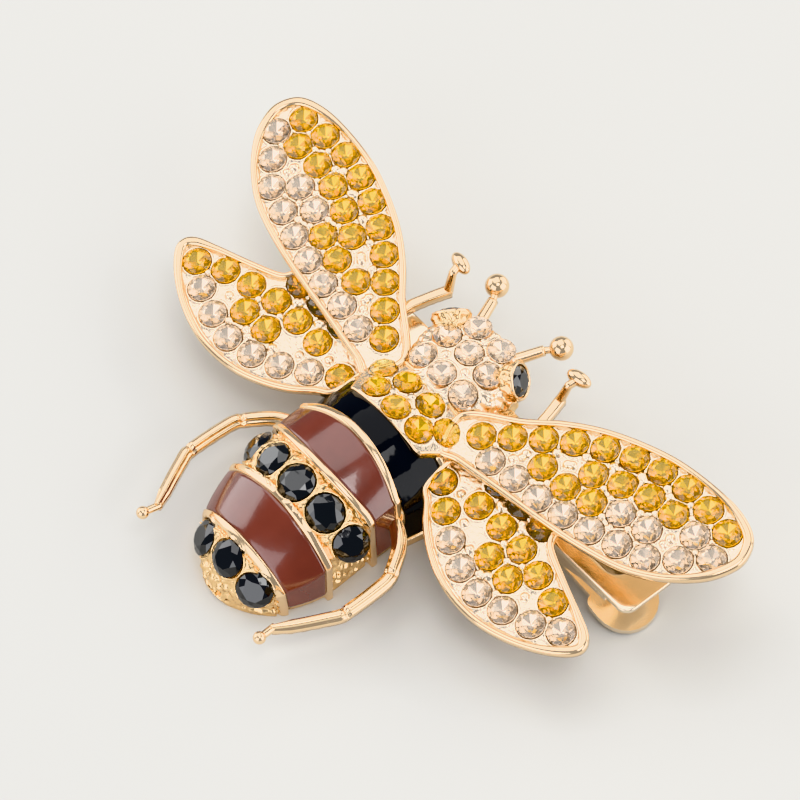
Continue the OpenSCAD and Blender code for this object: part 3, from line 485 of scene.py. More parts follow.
# floor of a wing: columns along it, a little closer at both ends, each from the trailing to the leading
# side of the inset outline; on it stand the beads, with a groove round each and one beside the rim
def wingBed(w, outline, stones):
    inner = insetRing(outline, wings["bedInset"])
    lo, hi = np.argmin(inner[:, 0]), np.argmax(inner[:, 0])
    ring = np.roll(inner, -lo, 0)
    split = (hi - lo) % len(ring)
    lead, trail = ring[:split + 1], np.concatenate([ring[split:], ring[:1]])[::-1]
    s = np.linspace(0, 1, int(w["length"] / wings["step"]))
    s = (1 - np.cos(math.pi * s)) / 2 * wings["crowd"] + s * (1 - wings["crowd"])
    x = lead[0, 0] + wings["endGap"] + s * (lead[-1, 0] - lead[0, 0] - 2 * wings["endGap"])
    low, top = np.interp(x, trail[:, 0], trail[:, 1])[:, None], np.interp(x, lead[:, 0], lead[:, 1])[:, None]
    t = np.linspace(0, 1, int(w["width"] * wings["across"] / wings["step"]))
    y = low + (top - low) * t
    bed = np.stack([np.broadcast_to(x[:, None], y.shape), y, np.full(y.shape, wings["bed"])], -1)
    beads, sizes = beadPlaces(stones)
    away = beadDistance(bed, beads, sizes)
    bed[..., 2] += beadRise(away, np.minimum(sizes, wings["beadHigh"]))
    bed[..., 2] -= swell(away.min(-1), *wings["beadGroove"])
    bed[..., 2] -= swell(np.minimum(t, 1 - t) * (top - low), *wings["rimGroove"])
    bed = sinkWells(bed, stones, wings["step"])
    bare = fade(awayFrom(bed, stones), stones[0][2] / 2 + wings["bare"][0], wings["bare"][1])
    bed[1:-1, 1:-1] = roughen(bed, bare, wings["grain"], wings["grainHigh"])[1:-1, 1:-1]
    return bed


# rim of a wing: a bar carried round the outline, its crown a half turn, across 0.5 - 0.5 cos a and up by
# sin a; its width grows towards the tip by 3 s^2 - 2 s^3
def wingRim(w, outline):
    s = fade(outline[:, 0] / w["length"], wings["tipFrom"], 1 - wings["tipFrom"])
    width = wings["rimWidth"] + wings["tipRim"] * s ** 2 * (3 - 2 * s)
    a = np.radians(np.linspace(0, 180, 13))
    crown = [0.5 - 0.5 * np.cos(a), wings["rimLow"] + (wings["rimTop"] - wings["rimLow"]) * np.sin(a)]
    section = np.concatenate([wings["rimOutside"], np.stack(crown, 1), wings["rimInside"]])
    flat = outline[:, None] + rightward(outline, True)[:, None] * section[None, :, :1] * width[:, None, None]
    return np.concatenate([flat, np.broadcast_to(section[None, :, 1:], (*flat.shape[:2], 1))], -1)


# a wing is made in its own plane, where its stones stand upright, then turned, moved to its root and
# mirrored
def wingPiece(side, kind):
    w = wings[kind]
    m = wingMatrix(w)
    mirror = np.array([1.0 if side == "right" else -1.0, 1, 1])
    root = np.array(w["root"]) + shift
    stones = [((c * mirror - root) @ m, np.array([0, 0, 1.0]), d) for colour in ("yellow", "pale")
              for c, axis, d in places[f"{side}_{kind}_{colour}"]]
    outline = smoothRing(np.array(w["outline"]) * [w["length"], w["width"]], 12)
    outline = insetRing(evenly(outline, wings["rimPoints"], True), wings["inset"])
    bed = wingBed(w, outline, stones)
    under = bed[::4, ::4].copy()
    under[..., 2] = wings["base"]
    flip = side == "left"
    grids = ((bed, False, not flip, 1), (under, False, flip, 0), (wingRim(w, outline), True, flip, 0))
    gridPiece(f"{side}{kind.title()}Wing", [((p @ m.T + root) * mirror, closed, closed, flipped, number)
                                            for p, closed, flipped, number in grids], [gold, goldBedPaintedSheen])


for side in ("right", "left"):
    for kind in ("fore", "hind"):
        wingPiece(side, kind)
print("wings made")

# what abdomen and thorax share, in mm: heights, and depths under the skin
body = {"axisHeight": 1.8, "highest": 14.0, "wall": 1.2, "enamel": 0.15, "enamelFloor": 0.55, "groove": 0.6,
        "enamelFoot": 1.25}
# profile: share of the length back from the waist, share of the radius; plan: share back, share of half the
# width; rims: share back at the foot, at the shoulder and over the crown, which are the levels; depths are
# under the skin; front rows: share of the way from the face to the first rim, depth; grooves as (size, at,
# width)
abdomen = {
    "waist": -6.5, "length": 18.4, "radius": 10.45, "halfWidth": 7.75, "droop": 15.0,
    "front": -6.9, "face": 3.4,
    "profile": [[-0.1848, 0.928], [0.125, 1], [0.413, 0.976], [0.685, 0.858], [0.815, 0.708], [0.946, 0.488],
                [0.984, 0.287], [1, 0.05]],
    "plan": [[-0.2, 0.93], [0.054, 0.974], [0.245, 0.981], [0.549, 1], [0.772, 0.832], [0.891, 0.594],
             [0.967, 0.31], [1.01, 0.04]],
    "rims": [[0.03, 0.046, -0.035], [0.215, 0.231, 0.31], [0.53, 0.527, 0.508], [0.78, 0.81, 0.845]],
    "levels": [1.2, 8.8, 13.5], "rowLevels": [1.2, 8.2, 8.8, 9.8, 13.5],
    "frontRows": [[0, 1.75], [0, 1.6], [0.5, 1.5], [0.9, 1.4], [0.975, 0.8], [0.996, 0.2]],
    "rim": 0.35, "rimDepth": 0.11, "channel": 0.66, "channelLong": 5.0, "channelGroove": (0.3, 0.12, 0.16),
    "tail": 0.06, "tailGroove": (0.3, 0.045, 0.035), "tailTry": (-22, -25.2),
    "tailRows": [0.12, 0.35, 0.8, 1.6],
    "web": {"rise": 0.34, "width": 0.34, "reach": 2.1}, "nugget": {"size": 1.25, "high": 0.095},
    "nuggetClear": (2.2, 0.5), "nuggetFoot": 0.6, "nuggetWall": 2.0, "enamelDip": (0.09, 0, 0.03),
    "enamelEdge": 0.16, "enamelGap": 0.01, "thinnest": 0.05,
    "well": {"step": 0.15, "gap": 0.07, "lip": 0.2, "depth": 0.19, "heightLimit": 2.4}}
droop = math.radians(abdomen["droop"])


# a smooth line through shares of two sizes, and how much longer its skin is than its axis: sqrt(1 + slope^2)
def skinLine(shares, length, size):
    line = smoothLine(np.array(shares) * [length, size], 12)
    return line[:, 0], line[:, 1], np.hypot(1, np.gradient(line[:, 1], line[:, 0]))


profileAt, profileLine, profileSlope = skinLine(abdomen["profile"], abdomen["length"], abdomen["radius"])
planAt, planLine, planSlope = skinLine(abdomen["plan"], abdomen["length"], abdomen["halfWidth"])


# abdomen at (y, z), depth t under its skin: the flat side's distance from the middle, and the square of the
# half width of the round part, which is (radius at the station)^2 less (height over the drooping axis)^2
def abdomenSection(y, z, t):
    back, high = abdomen["waist"] - y, z - body["axisHeight"]
    s = back * math.cos(droop) - high * math.sin(droop)
    q = back * math.sin(droop) + high * math.cos(droop)
    f = np.interp(s, profileAt, profileLine, right=0) - t * np.interp(s, profileAt, profileSlope)
    w = np.interp(back, planAt, planLine, right=0) - t * np.minimum(np.interp(back, planAt, planSlope), 2)
    return np.maximum(w, 0), np.maximum(f, 0) ** 2 - q ** 2


# half width of a section at (y, z), depth t under its skin: the smaller of flat side and round part
def halfWidth(section, y, z, t):
    flat, round2 = section(y, z, t)
    return np.minimum(flat, np.sqrt(np.clip(round2, 0, None)))


# rows of half sections from the crown down to the foot: each follows a line y(z) through its knots at the
# given levels; heights fall from the crown as 1 - u^2, and the points are then spaced evenly
def halfRows(section, levels, knots, depth, count, foot=0.0):
    knots, depth, levels = np.atleast_2d(knots), np.asarray(depth, float)[:, None], np.asarray(levels, float)

    def rowY(z):
        i = np.clip(np.searchsorted(levels, z) - 1, 0, len(levels) - 2)
        w = fade(z, levels[i], levels[i + 1] - levels[i])
        return np.take_along_axis(knots, i, 1) * (1 - w) + np.take_along_axis(knots, i + 1, 1) * w

    low, high = np.full((len(knots), 1), foot), np.full((len(knots), 1), body["highest"])
    for k in range(40):  # the crown is found by halving
        mid = (low + high) / 2
        inside = section(rowY(mid), mid, depth)[1] > 0
        low, high = np.where(inside, mid, low), np.where(inside, high, mid)
    z = foot + (low - foot) * (1 - np.linspace(0, 1, 400)[None] ** 2)
    y = rowY(z)
    p = np.stack([halfWidth(section, y, z, depth), y, z], -1)
    p[:, 0, 0] = 0
    step = np.linalg.norm(np.diff(p, axis=1), axis=2) + 1e-6
    s = np.concatenate([np.zeros((len(p), 1)), np.cumsum(step, 1)], 1)
    at = np.linspace(0, 1, count)
    return np.stack([np.stack([np.interp(at, r / r[-1], q[:, k]) for k in range(3)], 1)
                     for r, q in zip(s, p)])


# half rows made whole: from the left foot over the crown to the right foot
def wholeRows(half):
    return np.concatenate([half[:, :0:-1] * [-1, 1, 1], half], 1)


# closed shell: the outer rows, then the inner rows back from the right foot to the left foot
def shellRows(outer, inner):
    return np.concatenate([outer, inner[:, ::-1]], 1)


# knots of rim k at the three levels, moved along by dy: waist - share * length + dy
def rimKnots(k, dy=0.0):
    return abdomen["waist"] - np.array(abdomen["rims"][k]) * abdomen["length"] + dy


# knots between two lines: a * (1 - share) + b * share, a line for each share
def mixKnots(a, b, share):
    share = np.atleast_1d(share)[:, None]
    return a * (1 - share) + b * share


# knots of the three level lines carried over to the five levels of the abdomen's rows
def fiveLevels(knots):
    return np.array([np.interp(abdomen["rowLevels"], abdomen["levels"], k) for k in np.atleast_2d(knots)])


# the abdomen's front face at a height z: a plane square to the drooping axis
def faceY(z):
    return abdomen["waist"] + abdomen["face"] / math.cos(droop) - (z - body["axisHeight"]) * math.tan(droop)


# rows of the gold abdomen from its front face to its blunt end: knots, depth under the skin, and 1 where
# nugget texture goes; a rim is half round, over a half turn a: aside by rim * cos a, under the skin by
# rimDepth * (1 - sin a)
def abdomenRows():
    b = abdomen
    rows = []

    def add(knots, t, finish):
        knots = fiveLevels(knots)
        rows.extend(zip(knots, np.broadcast_to(t, len(knots)), [finish] * len(knots)))

    # the front stands upright below and leans over to the face above
    lean = faceY(np.array(b["rowLevels"]))
    face = np.array([b["front"], b["front"], 0.75 * b["front"] + 0.25 * lean[2], *lean[3:]])
    rim = fiveLevels(rimKnots(0, b["rim"]))[0]
    rows.extend((np.minimum(face * (1 - share) + rim * share, face), t, 0) for share, t in b["frontRows"])
    turn = np.radians(np.linspace(0, 180, 9))
    for k in range(4):
        add([rimKnots(k, dy) for dy in b["rim"] * np.cos(turn)], b["rimDepth"] * (1 - np.sin(turn)), 0)
        if k in (0, 2):  # floor of the groove under the enamel
            floor = mixKnots(rimKnots(k, -b["rim"]), rimKnots(k + 1, b["rim"]), [0, 0.33, 0.67, 1])
            add(floor, body["groove"], 0)
        if k == 1:  # channel of the black stones, with a dark groove along both rims
            share = np.linspace(0, 1, 44)
            t = b["channel"] + swell(np.minimum(share, 1 - share) * b["channelLong"], *b["channelGroove"])
            add(mixKnots(rimKnots(k, -b["rim"]), rimKnots(k + 1, b["rim"]), share), t, 1)
    # the tail ends where its crown comes down to the foot
    y = np.linspace(*b["tailTry"], 400)
    end = np.full(3, y[abdomenSection(y, np.zeros(400), np.full(400, b["tail"]))[1] > 0][-1])
    share = np.concatenate([np.linspace(0, 0.1, 5)[1:], np.linspace(0.1, 1, 34)[1:]])
    add(mixKnots(rimKnots(3, -b["rim"]), end, share), b["tail"] + swell(share, *b["tailGroove"]), 1)
    add([end] * len(b["tailRows"]), b["tailRows"], 1)
    return (np.array(q) for q in zip(*rows))


# webs stand up between neighbouring black stones: rise * exp(-(distance along their row / width)^2)
def raiseWebs(rows, stones):
    web = abdomen["web"]
    stones = sorted(stones, key=lambda s: s[0][0])
    for a, b in zip(stones[:-1], stones[1:]):
        rel, up, along = rows - (a[0] + b[0]) / 2, (a[1] + b[1]) / 2, b[0] - a[0]
        near = swell(rel @ (along / np.linalg.norm(along)), web["rise"], 0, web["width"])
        near *= np.linalg.norm(rel, axis=-1) < web["reach"]
        rows = rows + up / np.linalg.norm(up) * near[..., None]
    return rows


# abdomen: the rows' skin with webs, wells and nugget texture, and the rows again deeper down as its inner
# wall, which is nowhere nearer to the skin than the thinnest
def abdomenPiece():
    b = abdomen
    knots, depth, finish = abdomenRows()
    middle, tail = stoneList("abdomen_stones"), stoneList("tail_stones")
    outer = wholeRows(halfRows(abdomenSection, b["rowLevels"], knots, depth, 150))
    outer = sinkWells(raiseWebs(outer, middle), middle + tail, **b["well"])
    mask = fade(awayFrom(outer, middle + tail), *b["nuggetClear"]) * fade(outer[..., 2], 0, b["nuggetFoot"])
    outer = roughen(outer, (finish == 1)[:, None] * mask, b["nugget"]["size"], b["nugget"]["high"])
    backing = np.where((finish == 1) & (knots[:, 0] >= rimKnots(3)[0]), b["nuggetWall"], body["wall"])
    backing = np.maximum(backing, depth + b["thinnest"])
    inner = wholeRows(halfRows(abdomenSection, b["rowLevels"], knots, backing, 40))
    numbers = np.minimum(finish[:-1], finish[1:])[:, None]
    gridPiece("abdomenShell", [(shellRows(outer, inner) + shift, False, True, True, numbers)],
              [gold, goldNugget], replaced=["gold_casting"])


# enamel slab over rows of knots: its skin at depth t, and its back on the floor of the groove
def enamelRows(section, levels, knots, t):
    floor = np.full(len(t), body["enamelFloor"])
    outer, inner = (wholeRows(halfRows(section, levels, knots, depth, count, body["enamelFoot"]))
                    for depth, count in ((t, 90), (floor, 30)))
    return shellRows(outer, inner)


# enamel slab between rims k and k + 1: its skin dips a little where it meets the metal, its back lies on
# the groove's floor
def enamelBand(name, k, source):
    b = abdomen
    share = np.concatenate([[0, 0], np.linspace(0, 1, 34), [1, 1]])
    t = body["enamel"] + swell(np.minimum(share, 1 - share), *b["enamelDip"])
    t[[0, -1]] = body["enamelFloor"]
    t[[1, -2]] = body["enamel"] + b["enamelEdge"]
    aside = b["rim"] + b["enamelGap"]
    knots = fiveLevels(mixKnots(rimKnots(k, -aside), rimKnots(k + 1, aside), share))
    rows = enamelRows(abdomenSection, b["rowLevels"], knots, t) + shift
    gridPiece(name, [(rows, False, True, True, 0)], [brownEnamel], [source])


abdomenPiece()
print("abdomen made")
enamelBand("frontEnamel", 0, "enamel_band_front")
enamelBand("rearEnamel", 2, "enamel_band_rear")

# stations: y, share of the radius, share of the half width; zone: from where to where the enamel goes;
# front and rear rows: y, depth under the skin; relief: what the collar covers, a plan with cut corners that
# lies the margin inside it
thorax = {
    "radius": 9.4, "half": 8.5, "zone": (-6.75, -1.3), "levels": [0.0, 13.5], "footLevel": 1.2,
    "footStep": 0.12,
    "stations": [[-7.4, 0.915, 0.86], [-6.6, 0.947, 0.93], [-4, 0.985, 0.99], [-1.4, 1, 1],
                 [1.5, 0.957, 0.9]],
    "frontRows": [[-7.4, 1.15], [-7.4, 0.1], [-7.36, 0.02], [-6.9, 0]],
    "rearRows": [[-0.8, 0], [-0.2, 0], [0.4, 0], [1, 0], [1.46, 0.03], [1.5, 0.12], [1.5, 0.6], [1.5, 2],
                 [1.5, 4], [1.5, 6], [1.5, 8], [1.5, 9.1]],
    "edge": 0.02, "innerEnd": 0.3, "enamelDip": (0.12, 0, 0.12),
    "relief": {"half": 6.1, "rear": -2.75, "corner": (5.1, -3.0), "slope": (0.883, 0.469), "margin": 0.25,
               "drop": 1.35, "over": 0.3, "above": 5}}


# thorax in the same way as the abdomen, round a level axis
def thoraxSection(y, z, t):
    at, radius, half = np.array(thorax["stations"]).T
    f = thorax["radius"] * np.interp(y, at, radius) - t
    w = thorax["half"] * np.interp(y, at, half) - t
    return np.maximum(w, 0), np.maximum(f, 0) ** 2 - (z - body["axisHeight"]) ** 2


# gold stays at full height below the foot of the enamel: under that level the half width goes over to the
# skin's
def closeFoot(rows, isLow):
    full = halfWidth(thoraxSection, rows[..., 1], rows[..., 2], np.zeros(rows.shape[:2]))
    w = fade(-rows[..., 2], -thorax["footLevel"], thorax["footStep"]) * isLow[:, None]
    rows = rows.copy()
    rows[..., 0] = rows[..., 0] * (1 - w) + np.sign(rows[..., 0]) * full * w
    return rows


# the thorax gives way under the collar: z drops by drop * the share of the way in from the relief's edge
def underCollar(p):
    c = thorax["relief"]
    x, y = np.abs(p[..., 0]), p[..., 1]
    cut = c["slope"][0] * (c["corner"][0] - x) + c["slope"][1] * (y - c["corner"][1]) - c["margin"]
    inside = np.minimum(np.minimum(c["half"] - x, y - c["rear"]), cut)
    p = p.copy()
    p[..., 2] -= c["drop"] * fade(inside, 0, c["over"]) * (p[..., 2] > c["above"])
    return p


# thorax: rows across at level stations y and depths t, closed in front by rows of growing depth, then its
# enamel
def thoraxPieces():
    (z0, z1), groove, edge = thorax["zone"], body["groove"], thorax["edge"]
    floor = np.stack([np.linspace(z0 + 0.1, z1 - 0.1, 40), np.full(40, groove)], 1)
    y, t = np.concatenate([thorax["frontRows"], [[z0 - edge, 0], [z0, groove]], floor,
                           [[z1, groove], [z1 + edge, 0]], thorax["rearRows"]]).T
    outer = halfRows(thoraxSection, thorax["levels"], np.stack([y, y], 1), t, 90)
    outer = closeFoot(outer, (y >= z0) & (y <= z1))
    back, depth = np.minimum(y, thorax["innerEnd"]), np.maximum(t, body["wall"])
    inner = halfRows(thoraxSection, thorax["levels"], np.stack([back, back], 1), depth, 30)
    rows = underCollar(shellRows(wholeRows(outer), wholeRows(inner))) + shift
    gridPiece("thoraxShell", [(rows, False, True, False, 0)], [gold], replaced=["gold_casting"])
    y = np.concatenate([[z0 + edge] * 2, np.linspace(z0 + edge, z1 - edge, 40), [z1 - edge] * 2])
    t = body["enamel"] + swell(np.minimum(y - y[0], y[-1] - y), *thorax["enamelDip"])
    t[[0, -1]] = body["enamelFloor"]
    rows = underCollar(enamelRows(thoraxSection, thorax["levels"], np.stack([y, y], 1), t)) + shift
    gridPiece("thoraxBlackEnamel", [(rows, False, True, False, 0)], [blackEnamel],
              ["thorax_enamel"])


thoraxPieces()
print("thorax and enamel made")


# plate inside a clockwise outline: rows run from the middle over the top, round a quarter-round edge, down
# the wall and back underneath to the middle; topZ and bottomZ give the heights at points in plan
def plateRows(outline, topZ, bottomZ, rings, bevel, middle=None, wall=6):
    c = outline.mean(0) if middle is None else np.asarray(middle, float)
    inside = insetRing(outline, bevel)
    rows = [raised(p, topZ(p)) for p in (c + (inside - c) * s for s in np.linspace(0.002, 1, rings))]
    for a in np.radians([22.5, 45, 67.5, 90]):
        p = insetRing(outline, bevel * (1 - math.sin(a)))
        rows.append(raised(p, topZ(p) - bevel * (1 - math.cos(a))))
    high, low = rows[-1][:, 2], bottomZ(outline)
    rows += [raised(outline, high + (low - high) * s) for s in np.linspace(0, 1, wall)[1:]]
    rows += [raised(p, bottomZ(p)) for p in (c + (outline - c) * s for s in (0.97, 0.6, 0.3, 0.002))]
    return np.stack(rows)


# height of a level face, as plateRows asks for it
def level(z):
    return lambda p: np.full(len(p), z)


# collar: its outline is in shares of its half width and in mm, and its top is a round of a radius about an
# axis that lies the drop below its place and leans; rings and edge belong to plateRows, and so in the head
collar = {"plan": [[-0.8, -3], [-1, -0.6], [-1, 2.2], [-0.84, 3.2], [0.84, 3.2], [1, 2.2], [1, -0.6],
                   [0.8, -3]],
          "half": 6.375, "round": 13.85, "drop": 14.0, "lean": 8.0, "place": (-1.43, 11.2), "thick": 1.6,
          "middle": (0, 0.1), "rings": 52, "edge": 0.22, "beadHigh": 0.7, "step": 0.11, "heightLimit": 2.4}
# head: its plan is in shares of length ahead of the neck and of half width, its dome is (share of half
# width, fall)
head = {"plan": [[-0.08, 0.7], [0.111, 0.82], [0.244, 0.9], [0.5, 1], [0.644, 0.99], [0.811, 0.85],
                 [0.922, 0.64], [0.989, 0.33], [1, 0.1]],
        "dome": [[0, 0], [0.53, 0.06], [0.74, 0.5], [0.9, 1.25], [1.02, 2.4], [1.12, 4]],
        "half": 6.0, "length": 9.0, "neck": 3.0, "top": 11.4, "bottom": 6.7, "middle": (0, 7.68), "rings": 60,
        "edge": 0.3, "wallRows": 16, "beadHigh": 0.7, "step": 0.11, "heightLimit": 2.4,
        "nugget": {"size": 1.2, "high": 0.06, "clear": (0.25, 0.3), "rows": (24, 30)}}


# height of the collar's top at points in plan: z of the leant round, sqrt(round^2 - x^2) - drop, along and
# across its lean
def collarTop(p):
    z = np.sqrt(collar["round"] ** 2 - p[:, 0] ** 2) - collar["drop"]
    a = math.radians(collar["lean"])
    y = (p[:, 1] - collar["place"][0] - z * math.sin(a)) / math.cos(a)
    return collar["place"][1] - y * math.sin(a) + z * math.cos(a)


# height of the head's top: the fall of the dome at the distance from its middle
def headTop(p):
    r = np.hypot(*(p - head["middle"]).T) / head["half"]
    dome = smoothLine(head["dome"], 6)
    return head["top"] - np.interp(r, dome[:, 0], dome[:, 1])


# rows of a plate whose top carries beads, and wells for a list of stones
def stonedPlate(part, stones, outline, topZ, bottomZ, wall=6):
    beads, sizes = beadPlaces(stones)

    def beadedTop(p):
        return topZ(p) + beadRise(beadDistance(p, beads, sizes), sizes * part["beadHigh"])

    rows = plateRows(outline, beadedTop, bottomZ, part["rings"], part["edge"], part["middle"], wall)
    top = rows[:part["rings"]]
    rows[:part["rings"]] = sinkWells(top, stones, part["step"], heightLimit=part["heightLimit"])
    return rows


# the collar's top has beads and wells; its underside lies the thickness under the plain top
def collarPiece():
    outline = evenly(np.array(collar["plan"]) * [collar["half"], 1], 300, True)
    outline = evenly(smoothRing(outline[::6], 6), 300, True)  # rounds the corners
    rows = stonedPlate(collar, stoneList("collar_stones"), outline, collarTop,
                       lambda p: collarTop(p) - collar["thick"])
    finish = np.where(np.arange(len(rows) - 1) < collar["rings"] - 1, 1, 0)[:, None]
    gridPiece("collarPlate", [(rows + shift, False, True, False, finish)], [gold, goldBedPaintedSheen],
              replaced=["gold_casting"])


# the head has grain between its stones and nugget texture that grows down its wall
def headPiece():
    stones, n = stoneList("head_stones"), head["nugget"]
    side = smoothLine(head["plan"], 8) * [head["length"], head["half"]] + [head["neck"], 0]
    left = np.stack([-side[:, 1], side[:, 0]], 1)
    outline = evenly(np.concatenate([left, left[::-1] * [-1, 1]]), 320, True)
    rows = stonedPlate(head, stones, outline, headTop, level(head["bottom"]), head["wallRows"])
    row, wallEnd = np.arange(len(rows)), head["rings"] + 2 + head["wallRows"]
    bare = fade(awayFrom(rows, stones), stones[0][2] / 2 + n["clear"][0], n["clear"][1])
    bare = bare * (fade(row, *n["rows"]) * (row < wallEnd))[:, None]
    rows = roughen(rows, bare, n["size"], n["high"])
    finish = (1 * (row[:-1] < head["rings"] - 1) + 2 * (row[:-1] > head["rings"] + 3))[:, None]
    gridPiece("headBlock", [(rows + shift, False, True, False, finish)], [gold, goldBedPaintedSheen, goldNugget],
              replaced=["gold_casting"])


collarPiece()
headPiece()


# turned form: (radius, height) pairs carried round an axis through a place; its first column lies square to
# the axis and to the aside direction
def turned(place, axis, profile, cols=48, aside=(0.31, 0.9, 0.2)):
    z = np.asarray(axis, float) / np.linalg.norm(axis)
    x = np.cross(z, aside)
    x /= np.linalg.norm(x)
    profile = np.asarray(profile, float)
    a = np.arange(cols) * 2 * math.pi / cols
    ring = np.cos(a)[None, :, None] * x + np.sin(a)[None, :, None] * np.cross(z, x)
    return np.asarray(place, float) + profile[:, :1, None] * ring + profile[:, 1:, None] * z


# half an ellipse as (radius sin a, half height cos a); its two ends stop a small angle short of the axis
def halfOval(radius, halfHeight, rows, end=0.0001):
    a = np.linspace(math.pi - end, end, rows)
    return np.stack([radius * np.sin(a), halfHeight * np.cos(a)], 1)


# ball about an upright axis
def ball(place, radius, rows, cols):
    return turned(place, (0, 0, 1), halfOval(radius, radius, rows), cols, aside=(0.3, 0.9, 0.2))


# round bar along a line, path + side * r cos a + up * r sin a, its radius given at even shares, closed at
# both ends
def roundBar(path, radii, cols=28, upward=(0, 0, 1)):
    a = -np.arange(cols) * 2 * math.pi / cols
    r = np.interp(np.linspace(0, 1, len(path)), np.linspace(0, 1, len(radii)), radii)
    r[[0, -1]] = 0.01
    t = tangents(path)
    side = np.cross(t, upward)
    side /= np.linalg.norm(side, axis=1, keepdims=True)
    across, high = (q[None, :, None] * r[:, None, None] for q in (np.cos(a), np.sin(a)))
    return path[:, None] + side[:, None] * across + np.cross(side, t)[:, None] * high


# points along straight runs between corners, doubled at both ends so that a bar's ends close flat
def barLine(corners, n=14):
    corners = np.asarray(corners, float)
    share = np.linspace(0, 1, n, endpoint=False)[:, None]
    p = np.concatenate([a + (b - a) * share for a, b in zip(corners[:-1], corners[1:])] + [corners[-1:]])
    step = 0.01 * (p[1] - p[0])
    return np.concatenate([p[:1] - step, p, p[-1:] + step])


# legs and antennae of the right side, mirrored for the left: paths in shares of reach and length, sections
# as (share of width, height), widths as (share along, share of width), places and radii in mm
limbs = {
    "width": 1.45, "points": 180,
    "rear": {
        "path": [[0, 0], [0.1, 0.5], [0.25, 0.85], [0.29, 0.91], [0.34, 0.94], [0.49, 0.96], [0.62, 0.955],
                 [0.66, 0.93], [0.7, 0.87], [0.81, 0.7], [0.93, 0.5], [1, 0.38]],
        "start": (6.9, -7.3), "bow": 5.5, "length": 17.3, "z": 4.6, "rough": 0.04,
        "widths": [(0, 1.1), (0.5, 1), (0.9, 0.9), (1, 0.5)],
        "joints": (0.33, 0.635), "jointDepth": 0.28, "jointWidth": 0.011,
        "section": [[-0.5, 0.06], [-0.5, 0.5], [-0.47, 0.66], [-0.4, 0.76], [-0.3, 0.8], [-0.26, 0.9],
                    [-0.24, 1.1], [-0.17, 1.19], [0, 1.2], [0.17, 1.19], [0.24, 1.1], [0.26, 0.9],
                    [0.3, 0.8], [0.4, 0.76], [0.47, 0.66], [0.5, 0.5], [0.5, 0.06], [0.42, 0], [-0.42, 0]],
        "ankleZ": 5.1, "shinBack": (0, 0.4, 0), "toe": (0.2, -1.6, 0.4), "radii": [0.42, 0.36], "ball": 0.65},
    "front": {
        "path": [[0.402, 0], [0.742, 0.098], [0.959, 0.294], [1, 0.52], [0.954, 0.755], [0.882, 1]],
        "start": (0, 2.6), "reach": 9.7, "length": 10.2, "z": 7.9, "rough": 0.03,
        "widths": [(0, 1), (0.8, 0.75), (1, 0.8)],
        "section": [[-0.5, 0.1], [-0.5, 0.85], [-0.44, 1.02], [-0.3, 1.1], [0.3, 1.1], [0.44, 1.02],
                    [0.5, 0.85], [0.5, 0.1], [0.4, 0], [-0.4, 0]],
        "kneeZ": 8.5, "shinBack": (0, -0.3, -0.1), "shin": (0.3, 0.6, 2.3), "toe": (0.5, 1.8, 2.6),
        "radii": [0.55, 0.42, 0.5], "footAxis": (0.98, 0.19, 0), "foot": (0.75, 1.4)},
    "antenna": {"corners": [[2.28, 10.4, 9.95], [3.92, 14.5, 10.3], [4.92, 15.9, 10.45]],
                "stalk": [0.65, 0.56], "tip": [0.4, 0.32], "lap": 0.2, "ball": 1.24, "ballLift": 0.05},
    "eye": {"place": (5.25, 10.13, 10.55), "axis": (0.75, 0.5, 0.43), "rough": (1.1, 0.07),
            "bottom": [0.01, -2.2], "side": [1.62, -2.15],
            "rim": [[1.99, 0.0], [1.96, 0.14], [1.86, 0.22], [1.75, 0.2], [1.68, 0.1], [1.66, -0.05],
                    [1.66, -0.6], [0.01, -0.62]]}}


# bar along a flat path: its section keeps its height, and its width follows the given shares; at each joint
# the top drops by depth * height * exp(-((s - joint) / width)^2), and its foot is a little wavy
def flatBar(path, leg):
    p = evenly(smoothLine(path, 10), limbs["points"])
    side = rightward(p)
    p, side = (np.concatenate([q[:1], q, q[-1:]]) for q in (p, side))
    s = np.linspace(0, 1, len(p))
    w = np.interp(s, *zip(*leg["widths"])) * limbs["width"]
    w[[0, -1]] = 0.02
    across, high = np.array(leg["section"]).T
    flat = p[:, None] + side[:, None] * across[None, :, None] * w[:, None, None]
    z = leg["z"] + np.broadcast_to(high, (len(p), len(high)))
    for joint in leg.get("joints", ()):
        z = z - high * swell(s, leg["jointDepth"], joint, leg["jointWidth"])[:, None]
    z = z + leg["rough"] * np.sin(s * 95)[:, None] * swell(high, 1, 0.1, 0.3)
    return np.concatenate([flat, z[..., None]], 2)


